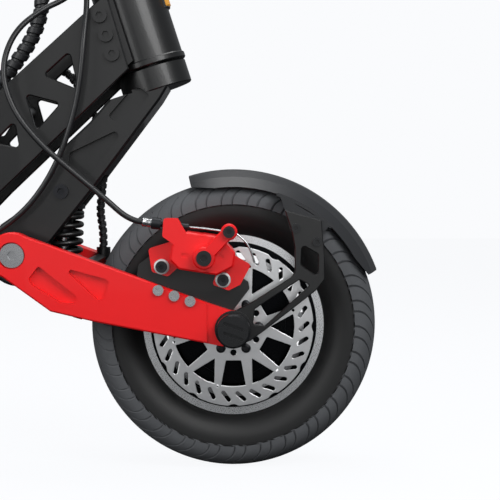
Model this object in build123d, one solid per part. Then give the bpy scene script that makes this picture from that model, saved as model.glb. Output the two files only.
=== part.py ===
from build123d import *
import math
import os

# Electric kick scooter with a swinging-arm suspension on both wheels.
# Millimetres. +X is forward, +Y is the rider's left, +Z is up, and the ground is Z = 0.
# The origin lies on the ground in the middle of the outer box.
# The swing-arm sets are drawn about their own wheel centre and then placed.

# ---- overall sizes ----
wheelbase = 1000.0
tyre_radius = 127.5
tyre_width = 78.0
bar_length = 620.0
stem_length = 720.0            # fold hinge to handlebar, along the steering axis
deck_width = 230.0
deck_height = 60.0
deck_bottom = 150.0            # ground to underside of the deck tray
lid_thickness = 6.0
mat_thickness = 4.0
mat_inset = 12.0               # bare edge of the lid round the mat

front_x = wheelbase / 2
rear_x = -wheelbase / 2

# ---- wheel ----
tread_band = 24.0              # flat middle band of the tyre
sidewall_radius = 106.0
rim_radius = 80.0
rim_half_width = 28.0
rim_lip = 10.0
spoke_count = 6
spoke_width = 13.0
drum_radius = 56.0
drum_half_width = 24.0
axle_radius = 8.0
running_fit = 0.05             # radial clearance of every turning fit
tyre_fit = 0.3

# ---- mudguard, about the wheel centre ----
guard_radius = 138.0
guard_skin = 3.0
guard_from = 20.5              # degrees above straight ahead
guard_to = 107.0
guard_plate = 4.0

# ---- brake disc ----
disc_radius = 70.0
disc_thickness = 2.0
disc_y = -45.0                 # middle plane of the disc
disc_bolts = 6
disc_bolt_circle = 22.0
disc_band_inner = 55.0

# ---- swing arm, about the wheel centre ----
arm_inner = 54.0
arm_outer = 70.0
pivot_x = -190.0
pivot_z = 63.0
pivot_eye_radius = 20.0
pivot_pin_radius = 8.0
barrel_half_width = 52.0
brace_inner_radius = tyre_radius + 4.5
brace_outer_radius = tyre_radius + 12.0
brace_lug_radius = 10.0        # clears the spring seat as the arm swings

# ---- caliper, about the wheel centre ----
caliper_pivot = (-24.6, 61.9)
caliper_anchor = (-3.5, 84.0)
caliper_face = 84.0            # |y| of the outer face of the caliper body
caliper_lug_face = 67.0
caliper_bolt_places = ((-61.5, 53.5), (-8.8, 42.1))

# ---- shock, about the wheel centre ----
shock_top = (-152.0, 118.0)
shock_bottom = (-155.0, 38.0)
shock_eye_radius = 9.0
shock_eye_width = 20.0
shock_pin_radius = 4.0
open_pivot_gap = 0.8           # radial clearance at the lower eye
spring_radius = 18.0
spring_wire = 2.5
spring_turns = 5.5
rod_radius = 5.0

# ---- steering axis, about the front wheel centre ----
rake = 18.0
crown_x = -70.7
crown_z = 217.4
crown_radius = 31.5
crown_low = -10.0
crown_high = 11.0
cup_low = 12.0
cup_high = 18.0
head_high = 100.0
steerer_radius = 14.0
leg_half_width = 30.0
leg_slot_half_width = 20.0     # the shock stands in this slot

# ---- neck ----
neck_inner = 32.0
neck_thickness = 6.0
neck_flange = 8.0
neck_end = -292.0
neck_bolt_radius = 4.0

# ---- deck ----
deck_front = front_x + neck_end - neck_flange
deck_rear = rear_x + 216.5
tray_wall = 4.0
deck_corner = 18.0

# ---- cables ----
cable_radius = 2.5
harness_radius = 7.0
motor_cable_radius = 3.75

# ---- kickstand ----
stand_x = 60.0
stand_z = 168.0
stand_pin_radius = 5.0
stand_foot_out = 38.0          # foot outside the deck side

# ---- stem and controls ----
hinge_height = 125.0           # fold pin above the crown centre, along the axis
fold_pin_back = 38.0           # fold pin behind the axis
stem_radius = 22.0
fold_pin_radius = 5.0
bar_radius = 11.0
bar_bore = 8.5
grip_radius = 16.0
grip_length = 125.0
lever_pivot_forward = 34.0
lever_pivot_out = 148.0
lever_reach = 50.0             # lever blade in front of the bar
lever_pin_radius = 3.0
button_travel = 1.5
button_radius = 7.0
pod_centre = 83.0
pod_half = 17.0
lever_height = 138.0           # fold lever pin above the crown centre

CENTRE_MIN = (Align.CENTER, Align.CENTER, Align.MIN)

nodes = {}


def side_plane(y_high):
    """Return the plane whose local x, y are world X, Z and whose normal is -Y."""
    return Plane(origin=(0, y_high, 0), x_dir=(1, 0, 0), z_dir=(0, -1, 0))


def slab(face, y_low, y_high):
    """Extrude a flat face, drawn in x and z, from y_low to y_high."""
    return side_plane(y_high) * extrude(face, amount=y_high - y_low, dir=(0, 0, 1))


def outline(points, radius=0.0):
    """Return the face inside a closed outline with rounded corners."""
    if radius:
        return make_face(FilletPolyline(*points, radius=radius, close=True))
    return make_face(Polyline(*points, close=True))


def rod_y(x, z, radius, y_low, y_high):
    """Return a cylinder along Y."""
    return slab(Pos(x, z) * Circle(radius), y_low, y_high)


def block(x0, x1, y0, y1, z0, z1):
    """Return a box between two corners."""
    return Pos((x0 + x1) / 2, (y0 + y1) / 2, (z0 + z1) / 2) * Box(x1 - x0, y1 - y0, z1 - z0)


def bevel_sides(shape, size):
    """Chamfer the outline edges on the two outer Y faces of a slab."""
    groups = shape.edges().group_by(Axis.Y)
    return chamfer(groups[0] + groups[-1], size)


def polar(radius, degrees):
    """Return the x, z point at a radius and angle about the wheel centre."""
    angle = math.radians(degrees)
    return (radius * math.cos(angle), radius * math.sin(angle))


def lathe_y(points):
    """Turn a closed (radius, y) outline about the Y axis."""
    face = make_face(Polyline(*[(r, y) for r, y in points], close=True))
    return revolve(face, axis=Axis.Y)


def socket_bolt(x, z, y_face, radius, height, outward):
    """Return a socket-head bolt head on the face y_face; outward is +1 or -1."""
    head = Pos(x, z) * Circle(radius) - Pos(x, z) * RegularPolygon(radius * 0.5, 6)
    core = Pos(x, z) * Circle(radius * 0.8)
    low, high = sorted((y_face, y_face + outward * height))
    base_low, base_high = sorted((y_face, y_face + outward * height * 0.4))
    return slab(head, low, high) + slab(core, base_low, base_high)


def keep(name, *shapes):
    """Record the finished solids of one node."""
    nodes[name] = list(shapes)


# ---- wheel ----
def tyre():
    """Return the tyre, with a flat band in the middle of the tread."""
    half = tyre_width / 2
    band = tread_band / 2
    seat = rim_radius - rim_lip + tyre_fit
    profile = Polyline((seat, -rim_half_width + 4), (rim_radius + 1, -rim_half_width + 2),
                       (sidewall_radius - 10, -half), (sidewall_radius, -half))
    far = Polyline((sidewall_radius, half), (sidewall_radius - 10, half),
                   (rim_radius + 1, rim_half_width - 2), (seat, rim_half_width - 4))
    shoulder = tyre_radius - 7.8
    tread = (ThreePointArc((sidewall_radius, -half), (shoulder, -half + 8), (tyre_radius, -band))
             + Line((tyre_radius, -band), (tyre_radius, band))
             + ThreePointArc((tyre_radius, band), (shoulder, half - 8), (sidewall_radius, half)))
    close = Line((seat, rim_half_width - 4), (seat, -rim_half_width + 4))
    return revolve(make_face(profile + tread + far + close), axis=Axis.Y)


def rim():
    """Return the one-piece rim: well, two flanges, spokes and hub motor shell."""
    well = rim_radius - rim_lip
    width = rim_half_width
    ring = lathe_y([(well - 6, -width), (well, -width), (rim_radius, -width), (rim_radius, -width + 2),
                    (well, -width + 4), (well, width - 4), (rim_radius, width - 2),
                    (rim_radius, width), (well - 6, width)])
    drum = rod_y(0, 0, drum_radius, -drum_half_width, drum_half_width)
    drum = bevel_sides(drum, 3)
    spokes = []
    for index in range(spoke_count):
        turn = index * 360 / spoke_count
        arm = Rot(0, 0, turn) * Pos(drum_radius / 2 + well / 2 - 4, 0) * Rectangle(
            well - drum_radius + 12, spoke_width)
        spokes.append(slab(arm, -width + 3, width - 3) & rod_y(0, 0, well - 2, -width, width))
    bore = rod_y(0, 0, axle_radius + running_fit, -width - 30, width + 30)
    hub = rod_y(0, 0, 28, disc_y + disc_thickness / 2, -disc_y)
    body = ring + drum + hub
    for spoke in spokes:
        body += spoke
    return body - bore


def brake_disc():
    """Return the floating-look brake disc with its star arms and slotted band."""
    ring = Circle(disc_radius) - Circle(disc_band_inner)
    hub = Circle(disc_bolt_circle + 8) - Circle(15)
    face = ring + hub
    for index in range(disc_bolts):
        base = -120 + index * 360 / disc_bolts
        for lean in (-16, 16):
            start = polar(disc_bolt_circle + 4, base)
            end = polar(disc_band_inner + 3, base + lean)
            arm = Polyline(start, end)
            face += trace(arm, 7.0)
    for index in range(disc_bolts):
        base = -120 + index * 360 / disc_bolts
        face -= Pos(*polar(disc_bolt_circle, base)) * Circle(2.6)
        slot_angle = base + 180 / disc_bolts
        face -= Pos(*polar(disc_bolt_circle, slot_angle)) * Rot(0, 0, slot_angle) * SlotOverall(9, 4.5)
        face -= Pos(*polar(disc_band_inner + 2.2, base + 5)) * Circle(1.6)
    slots = 24
    for index in range(slots):
        angle = index * 360 / slots
        centre = polar((disc_band_inner + disc_radius) / 2 + 1, angle)
        face -= Pos(*centre) * Rot(0, 0, angle + 35) * SlotOverall(8, 2.6)
        if index % 4 == 0:
            face -= Pos(*polar(disc_radius + 0.6, angle + 7)) * Circle(2.2)
    return slab(face, disc_y - disc_thickness / 2, disc_y + disc_thickness / 2)


def disc_bolt_set():
    """Return the six button bolts that hold the disc to the hub."""
    face = disc_y - disc_thickness / 2
    bolts = []
    for index in range(disc_bolts):
        x, z = polar(disc_bolt_circle, -120 + index * 360 / disc_bolts)
        bolts.append(socket_bolt(x, z, face, 4.2, 3.0, -1))
    return bolts


# ---- swing arm set, about the wheel centre ----
def arm(side, with_pockets):
    """Return one swing arm plate; side is -1 for the right arm and +1 for the left."""
    tail = Pos(pivot_x, pivot_z) * Circle(pivot_eye_radius)
    nose = Circle(15.0)
    blade = outline([(-187.6, 82.8), (-18.2, 21.0), (0, 15.0), (2, -14.8), (-9.6, -15.0), (-120, 6.4),
                     (-156.8, 15.0), (-199.5, 45.8)])
    face = blade + tail + nose
    low, high = sorted((side * arm_inner, side * arm_outer))
    plate = bevel_sides(slab(face, low, high), 1.2)
    if with_pockets:
        depth = 5.0
        cut_low, cut_high = sorted((side * arm_outer, side * (arm_outer - depth)))
        rear_pocket = outline([(-167, 54.3), (-175.6, 43.2), (-173, 38.1), (-148.2, 22.7), (-135.4, 21.8),
                               (-133.7, 27.8)], 2.5)
        front_pocket = outline([(-139.6, 51.3), (-141.4, 48.3), (-115.7, 24.4), (-110.6, 26.1),
                                (-106.3, 40.6), (-109.7, 43.2)], 1.8)
        plate -= slab(rear_pocket, cut_low, cut_high)
        plate -= slab(front_pocket, cut_low, cut_high)
    step_low, step_high = sorted((side * arm_outer, side * (arm_outer - 2.0)))
    plate -= slab(outline([(-24, 30), (20, 30), (20, -20), (-22, -20)]), step_low, step_high)
    recess_low, recess_high = sorted((side * arm_outer, side * (arm_outer - 4.0)))
    plate -= rod_y(pivot_x, pivot_z, 11.5, recess_low, recess_high)
    plate -= rod_y(pivot_x, pivot_z, pivot_pin_radius - running_fit, low, high)
    return plate - rod_y(0, 0, axle_radius, low, high)


def arm_brace():
    """Return the brace between the arms, curved round the tyre, with the lower shock lugs."""
    sector = Circle(brace_outer_radius) - Circle(brace_inner_radius)
    window = outline([(-150, 67.5), (-124, 59.2), (-100, 50.0), (-115, 2), (-150, 12)])
    wall = slab(sector & window, -arm_inner, arm_inner)
    x, z = shock_bottom
    reach = outline([(x - 3, z - 9), (-132, 14), (-129, 40), (x - 3, z + 9)])
    lug = reach + Pos(x, z) * Circle(brace_lug_radius)
    lug -= Circle(brace_inner_radius + 2)
    gap = shock_eye_width / 2 + 0.5
    bores = Pos(x, z) * Circle(shock_pin_radius)
    for side in (-1, 1):
        low, high = sorted((side * gap, side * (gap + 8)))
        wall += slab(lug, low, high)
    return wall - slab(bores, -arm_inner, arm_inner)


def pivot_pin():
    """Return the main pivot tube between the arms with its two ring nuts and bolts."""
    radius = pivot_pin_radius - running_fit
    pin = rod_y(pivot_x, pivot_z, radius, -arm_outer + 4, arm_outer - 4)
    ends = []
    for side in (-1, 1):
        face = side * (arm_outer - 4)
        low, high = sorted((face, face + side * 2.5))
        ring = slab(Pos(pivot_x, pivot_z) * (Circle(10.5) - RegularPolygon(4.2, 6)), low, high)
        ends.append(ring)
    return [pin] + ends


def shock_lower_pin():
    """Return the pin of the lower shock eye."""
    x, z = shock_bottom
    half = shock_eye_width / 2 + 8.5
    pin = rod_y(x, z, shock_pin_radius, -half, half)
    heads = [socket_bolt(x, z, side * half, 6.5, 4.0, side) for side in (-1, 1)]
    return [pin + heads[0] + heads[1]]


def axle():
    """Return the wheel axle with the inner spacers against the arms."""
    spindle = rod_y(0, 0, axle_radius, -arm_outer - 4, arm_outer + 4)
    hub_face = -disc_y
    for side in (-1, 1):
        low, high = sorted((side * (hub_face + 1.0), side * arm_inner))
        spindle += rod_y(0, 0, 13, low, high)
    return spindle


def axle_cap(side):
    """Return the dark axle nut cover with two grip ridges and its washer."""
    washer_face = arm_outer - 2.0 + guard_plate
    low, high = sorted((side * washer_face, side * (washer_face + 1.5)))
    washer = slab(Circle(16) - Circle(axle_radius), low, high)
    cap_low = washer_face + 1.5
    cap_high = cap_low + 20.0
    low, high = sorted((side * cap_low, side * cap_high))
    cap = bevel_sides(rod_y(0, 0, 14.5, low, high), 1.5)
    low, high = sorted((side * cap_low, side * (arm_outer + 4)))
    cap -= rod_y(0, 0, axle_radius, low, high)
    low, high = sorted((side * (cap_high - 2.0), side * cap_high))
    for offset in (-4.2, 4.2):
        cap -= slab(Pos(0, offset) * Rot(0, 0, -20) * SlotOverall(18, 3.0), low, high)
    return [washer, cap]


def caliper_bracket():
    """Return the plate on the right arm that carries the brake caliper."""
    face = outline([(-82, 55), (-70, 64), (-48, 62), (-2, 50), (13, 40), (14, 34), (-2, 13), (-60, 25),
                    (-84, 40)], 3.0)
    return slab(face, -arm_inner - 6, -arm_inner) - arm(-1, False)


def caliper_bolts():
    """Return the two bolts and pale washers of the caliper."""
    bolts = []
    for x, z in caliper_bolt_places:
        washer = slab(Pos(x, z) * (Circle(6.5) - Circle(2)), -caliper_lug_face - 1.5, -caliper_lug_face)
        bolts.append(washer)
        bolts.append(socket_bolt(x, z, -caliper_lug_face - 1.5, 5.0, 5.0, -1))
    return bolts


def caliper():
    """Return the mechanical caliper body: two halves, disc slot, lugs and cable stop."""
    bracket_face = arm_inner + 6
    body = outline([(-52, 72), (-40, 84), (-12, 80), (2, 66), (0, 54), (-14, 47), (-46, 52), (-54, 60)], 3.0)
    near = slab(body, -caliper_face, disc_y - 2.5)
    near = chamfer(near.edges().group_by(Axis.Y)[0], 1.5)
    inner = body & Circle(86)
    far = slab(inner, disc_y + 2.5, disc_y + 10.5)
    bridge = slab(inner - Circle(disc_radius + 2.5), disc_y - 2.5, disc_y + 2.5)
    left_lug = outline([(-73, 69), (-50, 76), (-44, 56), (-56, 45), (-70, 49)], 3.0)
    right_lug = outline([(15.2, 55), (-4, 66), (-12, 56), (-18, 38), (-4, 33), (6, 38)], 2.5)
    stop = outline([(-60, 80), (-59, 95.5), (-47, 95.5), (-38, 80), (-46, 70)], 2.5)
    result = near + far + bridge
    result += slab(left_lug, -caliper_lug_face, -bracket_face)
    result += slab(right_lug, -caliper_lug_face, -bracket_face)
    result += slab(stop, -caliper_face, -caliper_face + 11)
    result += slab(Pos(*caliper_pivot) * Circle(12), -caliper_face - 2, -caliper_face)
    result -= rod_y(*caliper_pivot, 4.0, -caliper_face - 2, -caliper_face + 20)
    groove = slab(outline([(-44, 66), (-8, 64), (-8, 60), (-44, 62)]), -caliper_face, -caliper_face + 1.5)
    result -= groove - rod_y(*caliper_pivot, 14.0, -caliper_face, 0)
    centre = Vector(-53, -caliper_face + 5.5, 89.5)
    return result - barrel_along(centre, 30, 2.6)


def barrel_along(centre, length, radius):
    """Return a cylinder about a centre, in line with the pull of the brake wire."""
    pull = Vector(62.5, 0, -7).normalized()
    plane = Plane(origin=centre - pull * (length / 2), z_dir=pull)
    return plane * Cylinder(radius, length, align=CENTRE_MIN)


def barrel_adjuster():
    """Return the barrel adjuster with its lock ring and the bright ferrule."""
    centre = Vector(-53, -caliper_face + 5.5, 89.5)
    pull = Vector(62.5, 0, -7).normalized()
    stem = barrel_along(centre, 30, 2.6)
    knob = barrel_along(centre - pull * 12.5, 8, 5.0)
    ferrule = barrel_along(centre - pull * 20.5, 8, 3.6)
    return [stem + knob, ferrule]


def caliper_arm():
    """Return the actuating arm that turns on the caliper pivot, with its clamp bolt."""
    x, z = caliper_pivot
    ax, az = caliper_anchor
    face = Pos(x, z) * Circle(9.5)
    face += trace(Polyline((x, z), (ax, az)), 11)
    face += Pos(ax, az) * Circle(7)
    low = -caliper_face - 10
    high = -caliper_face - 2.3
    body = bevel_sides(slab(face, low, high), 1.0)
    pin = rod_y(x, z, 4.0 - running_fit, high, -caliper_face + 14)
    cap = socket_bolt(x, z, low, 6.5, 3.0, -1)
    clamp = socket_bolt(ax, az, low, 5.0, 4.0, -1)
    return [body + pin, cap, clamp]


def pads():
    """Return the two brake pads."""
    shape = outline([(-42, 62), (-38, 72), (-14, 66), (-10, 56), (-26, 52)], 2.0)
    shape &= Circle(disc_radius + 2.0)
    near = slab(shape, disc_y - 2.5, disc_y - 1.4)
    far = slab(shape, disc_y + 1.4, disc_y + 2.5)
    return [near, far]


def guard_shell():
    """Return the mudguard: a curved shell with folded sides and two side flaps."""
    crown = guard_radius
    skin = guard_skin
    half = tyre_width / 2 + 4.5
    right = [(crown - 1.5, -16), (crown - 7, -half + 13.5), (crown - 16, -half)]
    under = [(crown - 17, -half + skin), (crown - 7 - skin, -half + 15), (crown - 1.5 - skin, -15)]
    points = [(crown, 0)] + right + under + [(crown - skin, 0)]
    mirrored = [(r, -y) for r, y in reversed(under)] + [(r, -y) for r, y in reversed(right)]
    face = make_face(Polyline(*points, *mirrored, close=True))
    shell = revolve(face, axis=Axis((0, 0, 0), (0, -1, 0)), revolution_arc=guard_to - guard_from)
    shell = Rot(0, -guard_from, 0) * shell
    nose = outline([polar(crown - 40, guard_from - 2), polar(crown - 9, guard_from - 2),
                    polar(crown - 18, guard_from + 24), polar(crown - 40, guard_from + 24)])
    back = outline([polar(crown - 40, guard_to + 2), polar(crown - 9, guard_to + 2),
                    polar(crown - 18, guard_to - 20), polar(crown - 40, guard_to - 20)])
    shell -= slab(nose, -60, 60)
    shell -= slab(back, -60, 60)
    outer = arm_outer - 2.0
    for side in (-1, 1):
        window = outline([(0, 0), polar(200, 46), polar(200, 72)])
        low, high = sorted((side * (half - skin), side * outer))
        shelf = slab((Circle(crown - 15) - Circle(crown - 18)) & window, low, high)
        low, high = sorted((side * (outer - 3), side * outer))
        drop = outline([polar(crown - 16, 71), polar(crown - 28, 66), (49, 84), (72, 69), polar(crown - 24, 47),
                        polar(crown - 16, 47)])
        shell += shelf + slab(drop, low, high)
    return shell


def guard_bracket(side):
    """Return the windowed plate from the axle to the mudguard flap."""
    face = outline([(44, 102), (50, 84), (52.6, 70), (52.6, 49), (49.4, 44.7), (19.5, 25.6), (0.8, 15.4),
                    (0.5, -15.2), (14.8, -9.9), (27.8, -0.5), (70.8, 33.1), (78.3, 42.4), (78.3, 62),
                    (75.5, 93.3)])
    face += Circle(15.5)
    face -= outline([(58.8, 72.5), (72.7, 64.4), (72.7, 45), (58.1, 54.9)], 2.5)
    face -= outline([(56.8, 42.4), (65.6, 37.8), (40.9, 15.4), (27, 3.2), (17, 4), (18.5, 17.3)], 1.5)
    low, high = sorted((side * (arm_outer - 2), side * (arm_outer - 2 + guard_plate)))
    plate = bevel_sides(slab(face, low, high), 0.8)
    return plate - rod_y(0, 0, axle_radius, low, high)


def guard_screws(side):
    """Return the two screws of one mudguard bracket."""
    face = side * (arm_outer - 2 + guard_plate)
    return [socket_bolt(x, z, face, 4.0, 2.5, side) for x, z in ((53.7, 86.6), (71.8, 74.9))]


def arm_bolts(side):
    """Return the three button bolts on one arm, near the axle."""
    places = ((-64.4, 33.4), (-50.7, 28.7), (-37.0, 24.0))
    return [socket_bolt(x, z, side * arm_outer, 4.6, 2.6, side) for x, z in places]


# ---- shock, about the wheel centre ----
def shock_plane(distance):
    """Return the plane across the shock at a distance from the upper eye towards the lower one."""
    top = Vector(shock_top[0], 0, shock_top[1])
    bottom = Vector(shock_bottom[0], 0, shock_bottom[1])
    along = (bottom - top).normalized()
    return Plane(origin=top + along * distance, x_dir=(0, 1, 0), z_dir=along)


def shock_length():
    """Return the distance between the two shock eyes at rest."""
    return math.dist(shock_top, shock_bottom)


def shock_body():
    """Return the upper half: eye, spring cup and the damper tube."""
    x, z = shock_top
    half = shock_eye_width / 2
    eye = rod_y(x, z, shock_eye_radius, -half, half)
    neck = shock_plane(4) * Cylinder(7.5, 10, align=CENTRE_MIN)
    cup = shock_plane(11) * Cylinder(spring_radius + 0.5, 4, align=CENTRE_MIN)
    tube = shock_plane(15) * Cylinder(rod_radius + 3, 24, align=CENTRE_MIN)
    body = eye + neck + cup + tube
    body -= shock_plane(12) * Cylinder(rod_radius + running_fit, 40, align=CENTRE_MIN)
    return body - rod_y(x, z, shock_pin_radius + running_fit, -half, half)


def shock_rod():
    """Return the lower half: eye, spring seat and the polished rod."""
    x, z = shock_bottom
    half = shock_eye_width / 2
    length = shock_length()
    rod = shock_plane(22) * Cylinder(rod_radius, length - 26, align=CENTRE_MIN)
    seat = shock_plane(length - 15) * Cylinder(spring_radius + 0.5, 4, align=CENTRE_MIN)
    eye = rod_y(x, z, shock_eye_radius, -half, half)
    return rod + seat + eye - rod_y(x, z, shock_pin_radius + open_pivot_gap, -half, half)


def shock_spring():
    """Return the coil spring between the cup and the seat."""
    start = 15.0 + spring_wire + 0.2
    height = shock_length() - 15 - start - spring_wire - 0.2
    radius = spring_radius - spring_wire
    path = Helix(pitch=height / spring_turns, height=height, radius=radius)
    profile = Plane(origin=path @ 0, z_dir=path % 0) * Circle(spring_wire)
    coil = sweep(profile, path=path, is_frenet=True)
    return shock_plane(start) * coil


# ---- fork, about the front wheel centre ----
def steer_plane(height):
    """Return the plane across the steering axis; local x points forward."""
    angle = math.radians(rake)
    up = Vector(-math.sin(angle), 0, math.cos(angle))
    origin = Vector(crown_x, 0, crown_z) + up * height
    return Plane(origin=origin, x_dir=(math.cos(angle), 0, math.sin(angle)), z_dir=up)


def steer_point(forward, height):
    """Return the x, z of a point given forward of and along the steering axis."""
    spot = steer_plane(height).from_local_coords(Vector(forward, 0, 0))
    return (spot.X, spot.Z)


def steer_tube(outer, inner, low, high):
    """Return a tube or, with inner 0, a cylinder on the steering axis."""
    tube = steer_plane(low) * Cylinder(outer, high - low, align=CENTRE_MIN)
    if inner:
        tube -= steer_plane(low - 1) * Cylinder(inner, high - low + 2, align=CENTRE_MIN)
    return tube


def fork_leg():
    """Return the forged fork leg with its crown, pockets, shock slot and pivot barrel."""
    blade = outline([(-88, 224), (-126.7, 179), (-152.7, 154.7), (-159.7, 133.5), (-173.8, 114),
                     (-189.4, 99.9), (-206.2, 88.4), (-190, 63), (-162, 72.5), (-121.1, 123.8),
                     (-64.8, 198.7), (-57.8, 210.3), (-62, 224)])
    blade += Pos(pivot_x, pivot_z) * Circle(29)
    leg = bevel_sides(slab(blade, -leg_half_width, leg_half_width), 2.0)
    leg -= steer_plane(crown_low + 4) * Cylinder(80, 90, align=CENTRE_MIN)
    leg += chamfer(steer_tube(crown_radius, 0, crown_low, crown_high).edges(), 1.0)
    leg += rod_y(pivot_x, pivot_z, 13.5, -barrel_half_width, barrel_half_width)
    slot_top = shock_top[1] + 15
    leg -= block(pivot_x + 14, -60, -leg_slot_half_width, leg_slot_half_width, 30, slot_top)
    upper_pocket = outline([(-90, 208), (-82, 209), (-73.5, 203), (-84.1, 189.7), (-105.4, 179.8),
                            (-110.1, 184.7)], 2.5)
    lower_pocket = outline([(-103.4, 171.7), (-100.6, 166.2), (-127.3, 132), (-146, 137), (-144.4, 152)], 3.0)
    for side in (-1, 1):
        low, high = sorted((side * leg_half_width, side * (leg_half_width - 7)))
        leg -= slab(upper_pocket, low, high)
        leg -= slab(lower_pocket, low, high)
    bore = rod_y(pivot_x, pivot_z, pivot_pin_radius, -barrel_half_width, barrel_half_width)
    x, z = shock_top
    return leg - bore - rod_y(x, z, shock_pin_radius, -leg_half_width, leg_half_width)


def shock_upper_pin(outer, inner):
    """Return the pin of the upper eye, with its spacers, between cheeks out to |y| = outer."""
    x, z = shock_top
    pin = rod_y(x, z, shock_pin_radius, -outer, outer)
    eye = shock_eye_width / 2 + 0.4
    for side in (-1, 1):
        low, high = sorted((side * eye, side * inner))
        pin += rod_y(x, z, 7.5, low, high)
        pin += socket_bolt(x, z, side * outer, 6.5, 3.5, side)
    return pin


def steerer():
    """Return the steerer tube with its top nut."""
    return steer_tube(steerer_radius, 9, crown_high, 112) + steer_tube(19, 9, 107.5, 112)


# ---- head tube and neck, about the front wheel centre ----
def head_tube():
    """Return the head tube with both bearing cups and the badge boss."""
    tube = steer_tube(crown_radius, 0, cup_high, head_high)
    for low, high in ((cup_low, cup_high), (head_high, head_high + 6)):
        tube += chamfer(steer_tube(crown_radius + 1.5, 0, low, high).edges(), 1.0)
    core = neck_inner
    back = outline([steer_point(-12, 20), steer_point(-12, 78), steer_point(-46, 62), steer_point(-46, 10),
                    steer_point(-26, 14)])
    tube += slab(back, -core, core)
    return tube - steer_tube(24, 0, cup_low - 1, head_high + 8)


def headset_bearings():
    """Return the two headset bearings inside the cups."""
    inner = steerer_radius + running_fit
    return [steer_tube(24, inner, cup_low + 0.5, cup_low + 9), steer_tube(24, inner, head_high - 3, head_high + 5.5)]


def badge():
    """Return the plain amber reflector on the front of the head tube."""
    ring = steer_tube(crown_radius + 2, crown_radius, 58, 92)
    front = steer_plane(56) * Pos(45, 0, 0) * Box(60, 26, 40, align=CENTRE_MIN)
    return ring & front


def neck_plate(side):
    """Return one truss plate of the neck, from the head tube to the deck."""
    points = [(-91.5, 225), (-110.6, 290), (-116, 286.4), (-205.2, 205.5), (neck_end, 128),
              (neck_end, 27), (-205.2, 116.7)]
    face = outline(points)
    windows = (
        [(-143.2, 239.8), (-165.6, 219.6), (-135.8, 207.3)],
        [(-181.5, 202.9), (-151.6, 195), (-172.7, 171.2)],
        [(-209.6, 160.7), (-191.6, 179.1), (-187.6, 156.3)],
        [(-197.5, 192.5), (-222.5, 170.5), (-212, 169)],
        [(-233.5, 160.5), (-206, 148.5), (-223.5, 122)],
        [(-243, 150.5), (-274, 122), (-240, 113)],
    )
    for window in windows:
        face -= outline(window, 2.5)
    low, high = sorted((side * neck_inner, side * (neck_inner + neck_thickness)))
    plate = bevel_sides(slab(face, low, high), 1.0)
    for spot in neck_bolt_places():
        plate -= rod_y(*spot, neck_bolt_radius, low, high)
    return plate


def neck_bolt_places():
    """Return the x, z of the three bolts that hold the neck plates to the head tube."""
    return [steer_point(-27, height) for height in (30.5, 48, 65.5)]


def neck_bolts(side):
    """Return the neck bolts of one side: shank and socket head."""
    face = side * (neck_inner + neck_thickness)
    low, high = sorted((side * neck_inner, face))
    bolts = []
    for x, z in neck_bolt_places():
        shank = rod_y(x, z, neck_bolt_radius, low, high)
        bolts.append(shank + socket_bolt(x, z, face, 6.5, 4.0, side))
    return bolts


def neck_spacer():
    """Return the cross ribs that tie the two neck plates together."""
    ribs = []
    for x, z in ((-188, 190), (-222, 158), (-262, 104)):
        ribs.append(rod_y(x, z, 6, -neck_inner, neck_inner))
    return ribs


# ---- deck, in world coordinates ----
def deck_face(inset):
    """Return the rounded deck outline, inset from its edge."""
    length = deck_front - deck_rear - 2 * inset
    corner = deck_corner - inset
    middle = (deck_front + deck_rear) / 2
    return Pos(middle, 0) * RectangleRounded(length, deck_width - 2 * inset, corner)


def deck_layer(inset, low, high):
    """Return a flat layer of the deck between two heights."""
    return Pos(0, 0, low) * extrude(deck_face(inset), amount=high - low, dir=(0, 0, 1))


def deck_tray():
    """Return the open deck tray with its hollow for the battery."""
    top = deck_bottom + deck_height
    tray = deck_layer(0, deck_bottom, top)
    tray = chamfer(tray.faces().sort_by(Axis.Z)[0].edges(), 3)
    return tray - deck_layer(tray_wall, deck_bottom + tray_wall, top)


def neck_flange_plate():
    """Return the flange between the neck plates and the tray, with its four bolts."""
    top = tyre_radius + 126
    plate = block(deck_front, deck_front + neck_flange, -58, 58, deck_bottom + 4, top)
    bolts = []
    for y in (-48, 48):
        for z in (deck_bottom + 16, deck_bottom + 44):
            head = Plane(origin=(deck_front + neck_flange, y, z), z_dir=(1, 0, 0)) * Cylinder(
                5, 4, align=CENTRE_MIN)
            bolts.append(head)
    return [plate] + bolts


def battery():
    """Return the battery pack inside the tray."""
    floor = deck_bottom + tray_wall
    return block(deck_rear + 90, deck_front - 90, -85, 85, floor, floor + 45)


def controllers():
    """Return the two motor controllers at the ends of the tray."""
    floor = deck_bottom + tray_wall
    return [block(x, x + 60, -60, 60, floor, floor + 32) for x in (deck_rear + 18, deck_front - 78)]


def lid_bolts():
    """Return the countersunk bolt heads round the deck lid."""
    top = deck_bottom + deck_height + lid_thickness
    heads = []
    for index in range(7):
        x = deck_rear + 26 + index * (deck_front - deck_rear - 52) / 6
        for y in (-deck_width / 2 + 8, deck_width / 2 - 8):
            heads.append(Pos(x, y, top) * Cylinder(3.4, 1.4, align=CENTRE_MIN))
    return heads


def stand_mount():
    """Return the kickstand bracket on the left side of the tray, with its pin."""
    side = deck_width / 2
    plate = block(stand_x - 20, stand_x + 20, side, side + 4, deck_bottom + 4, deck_bottom + 40)
    pin = rod_y(stand_x, stand_z, stand_pin_radius - running_fit, side + 4, side + 17)
    head = rod_y(stand_x, stand_z, 8, side + 14.6, side + 17)
    return plate + pin + head


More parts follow.
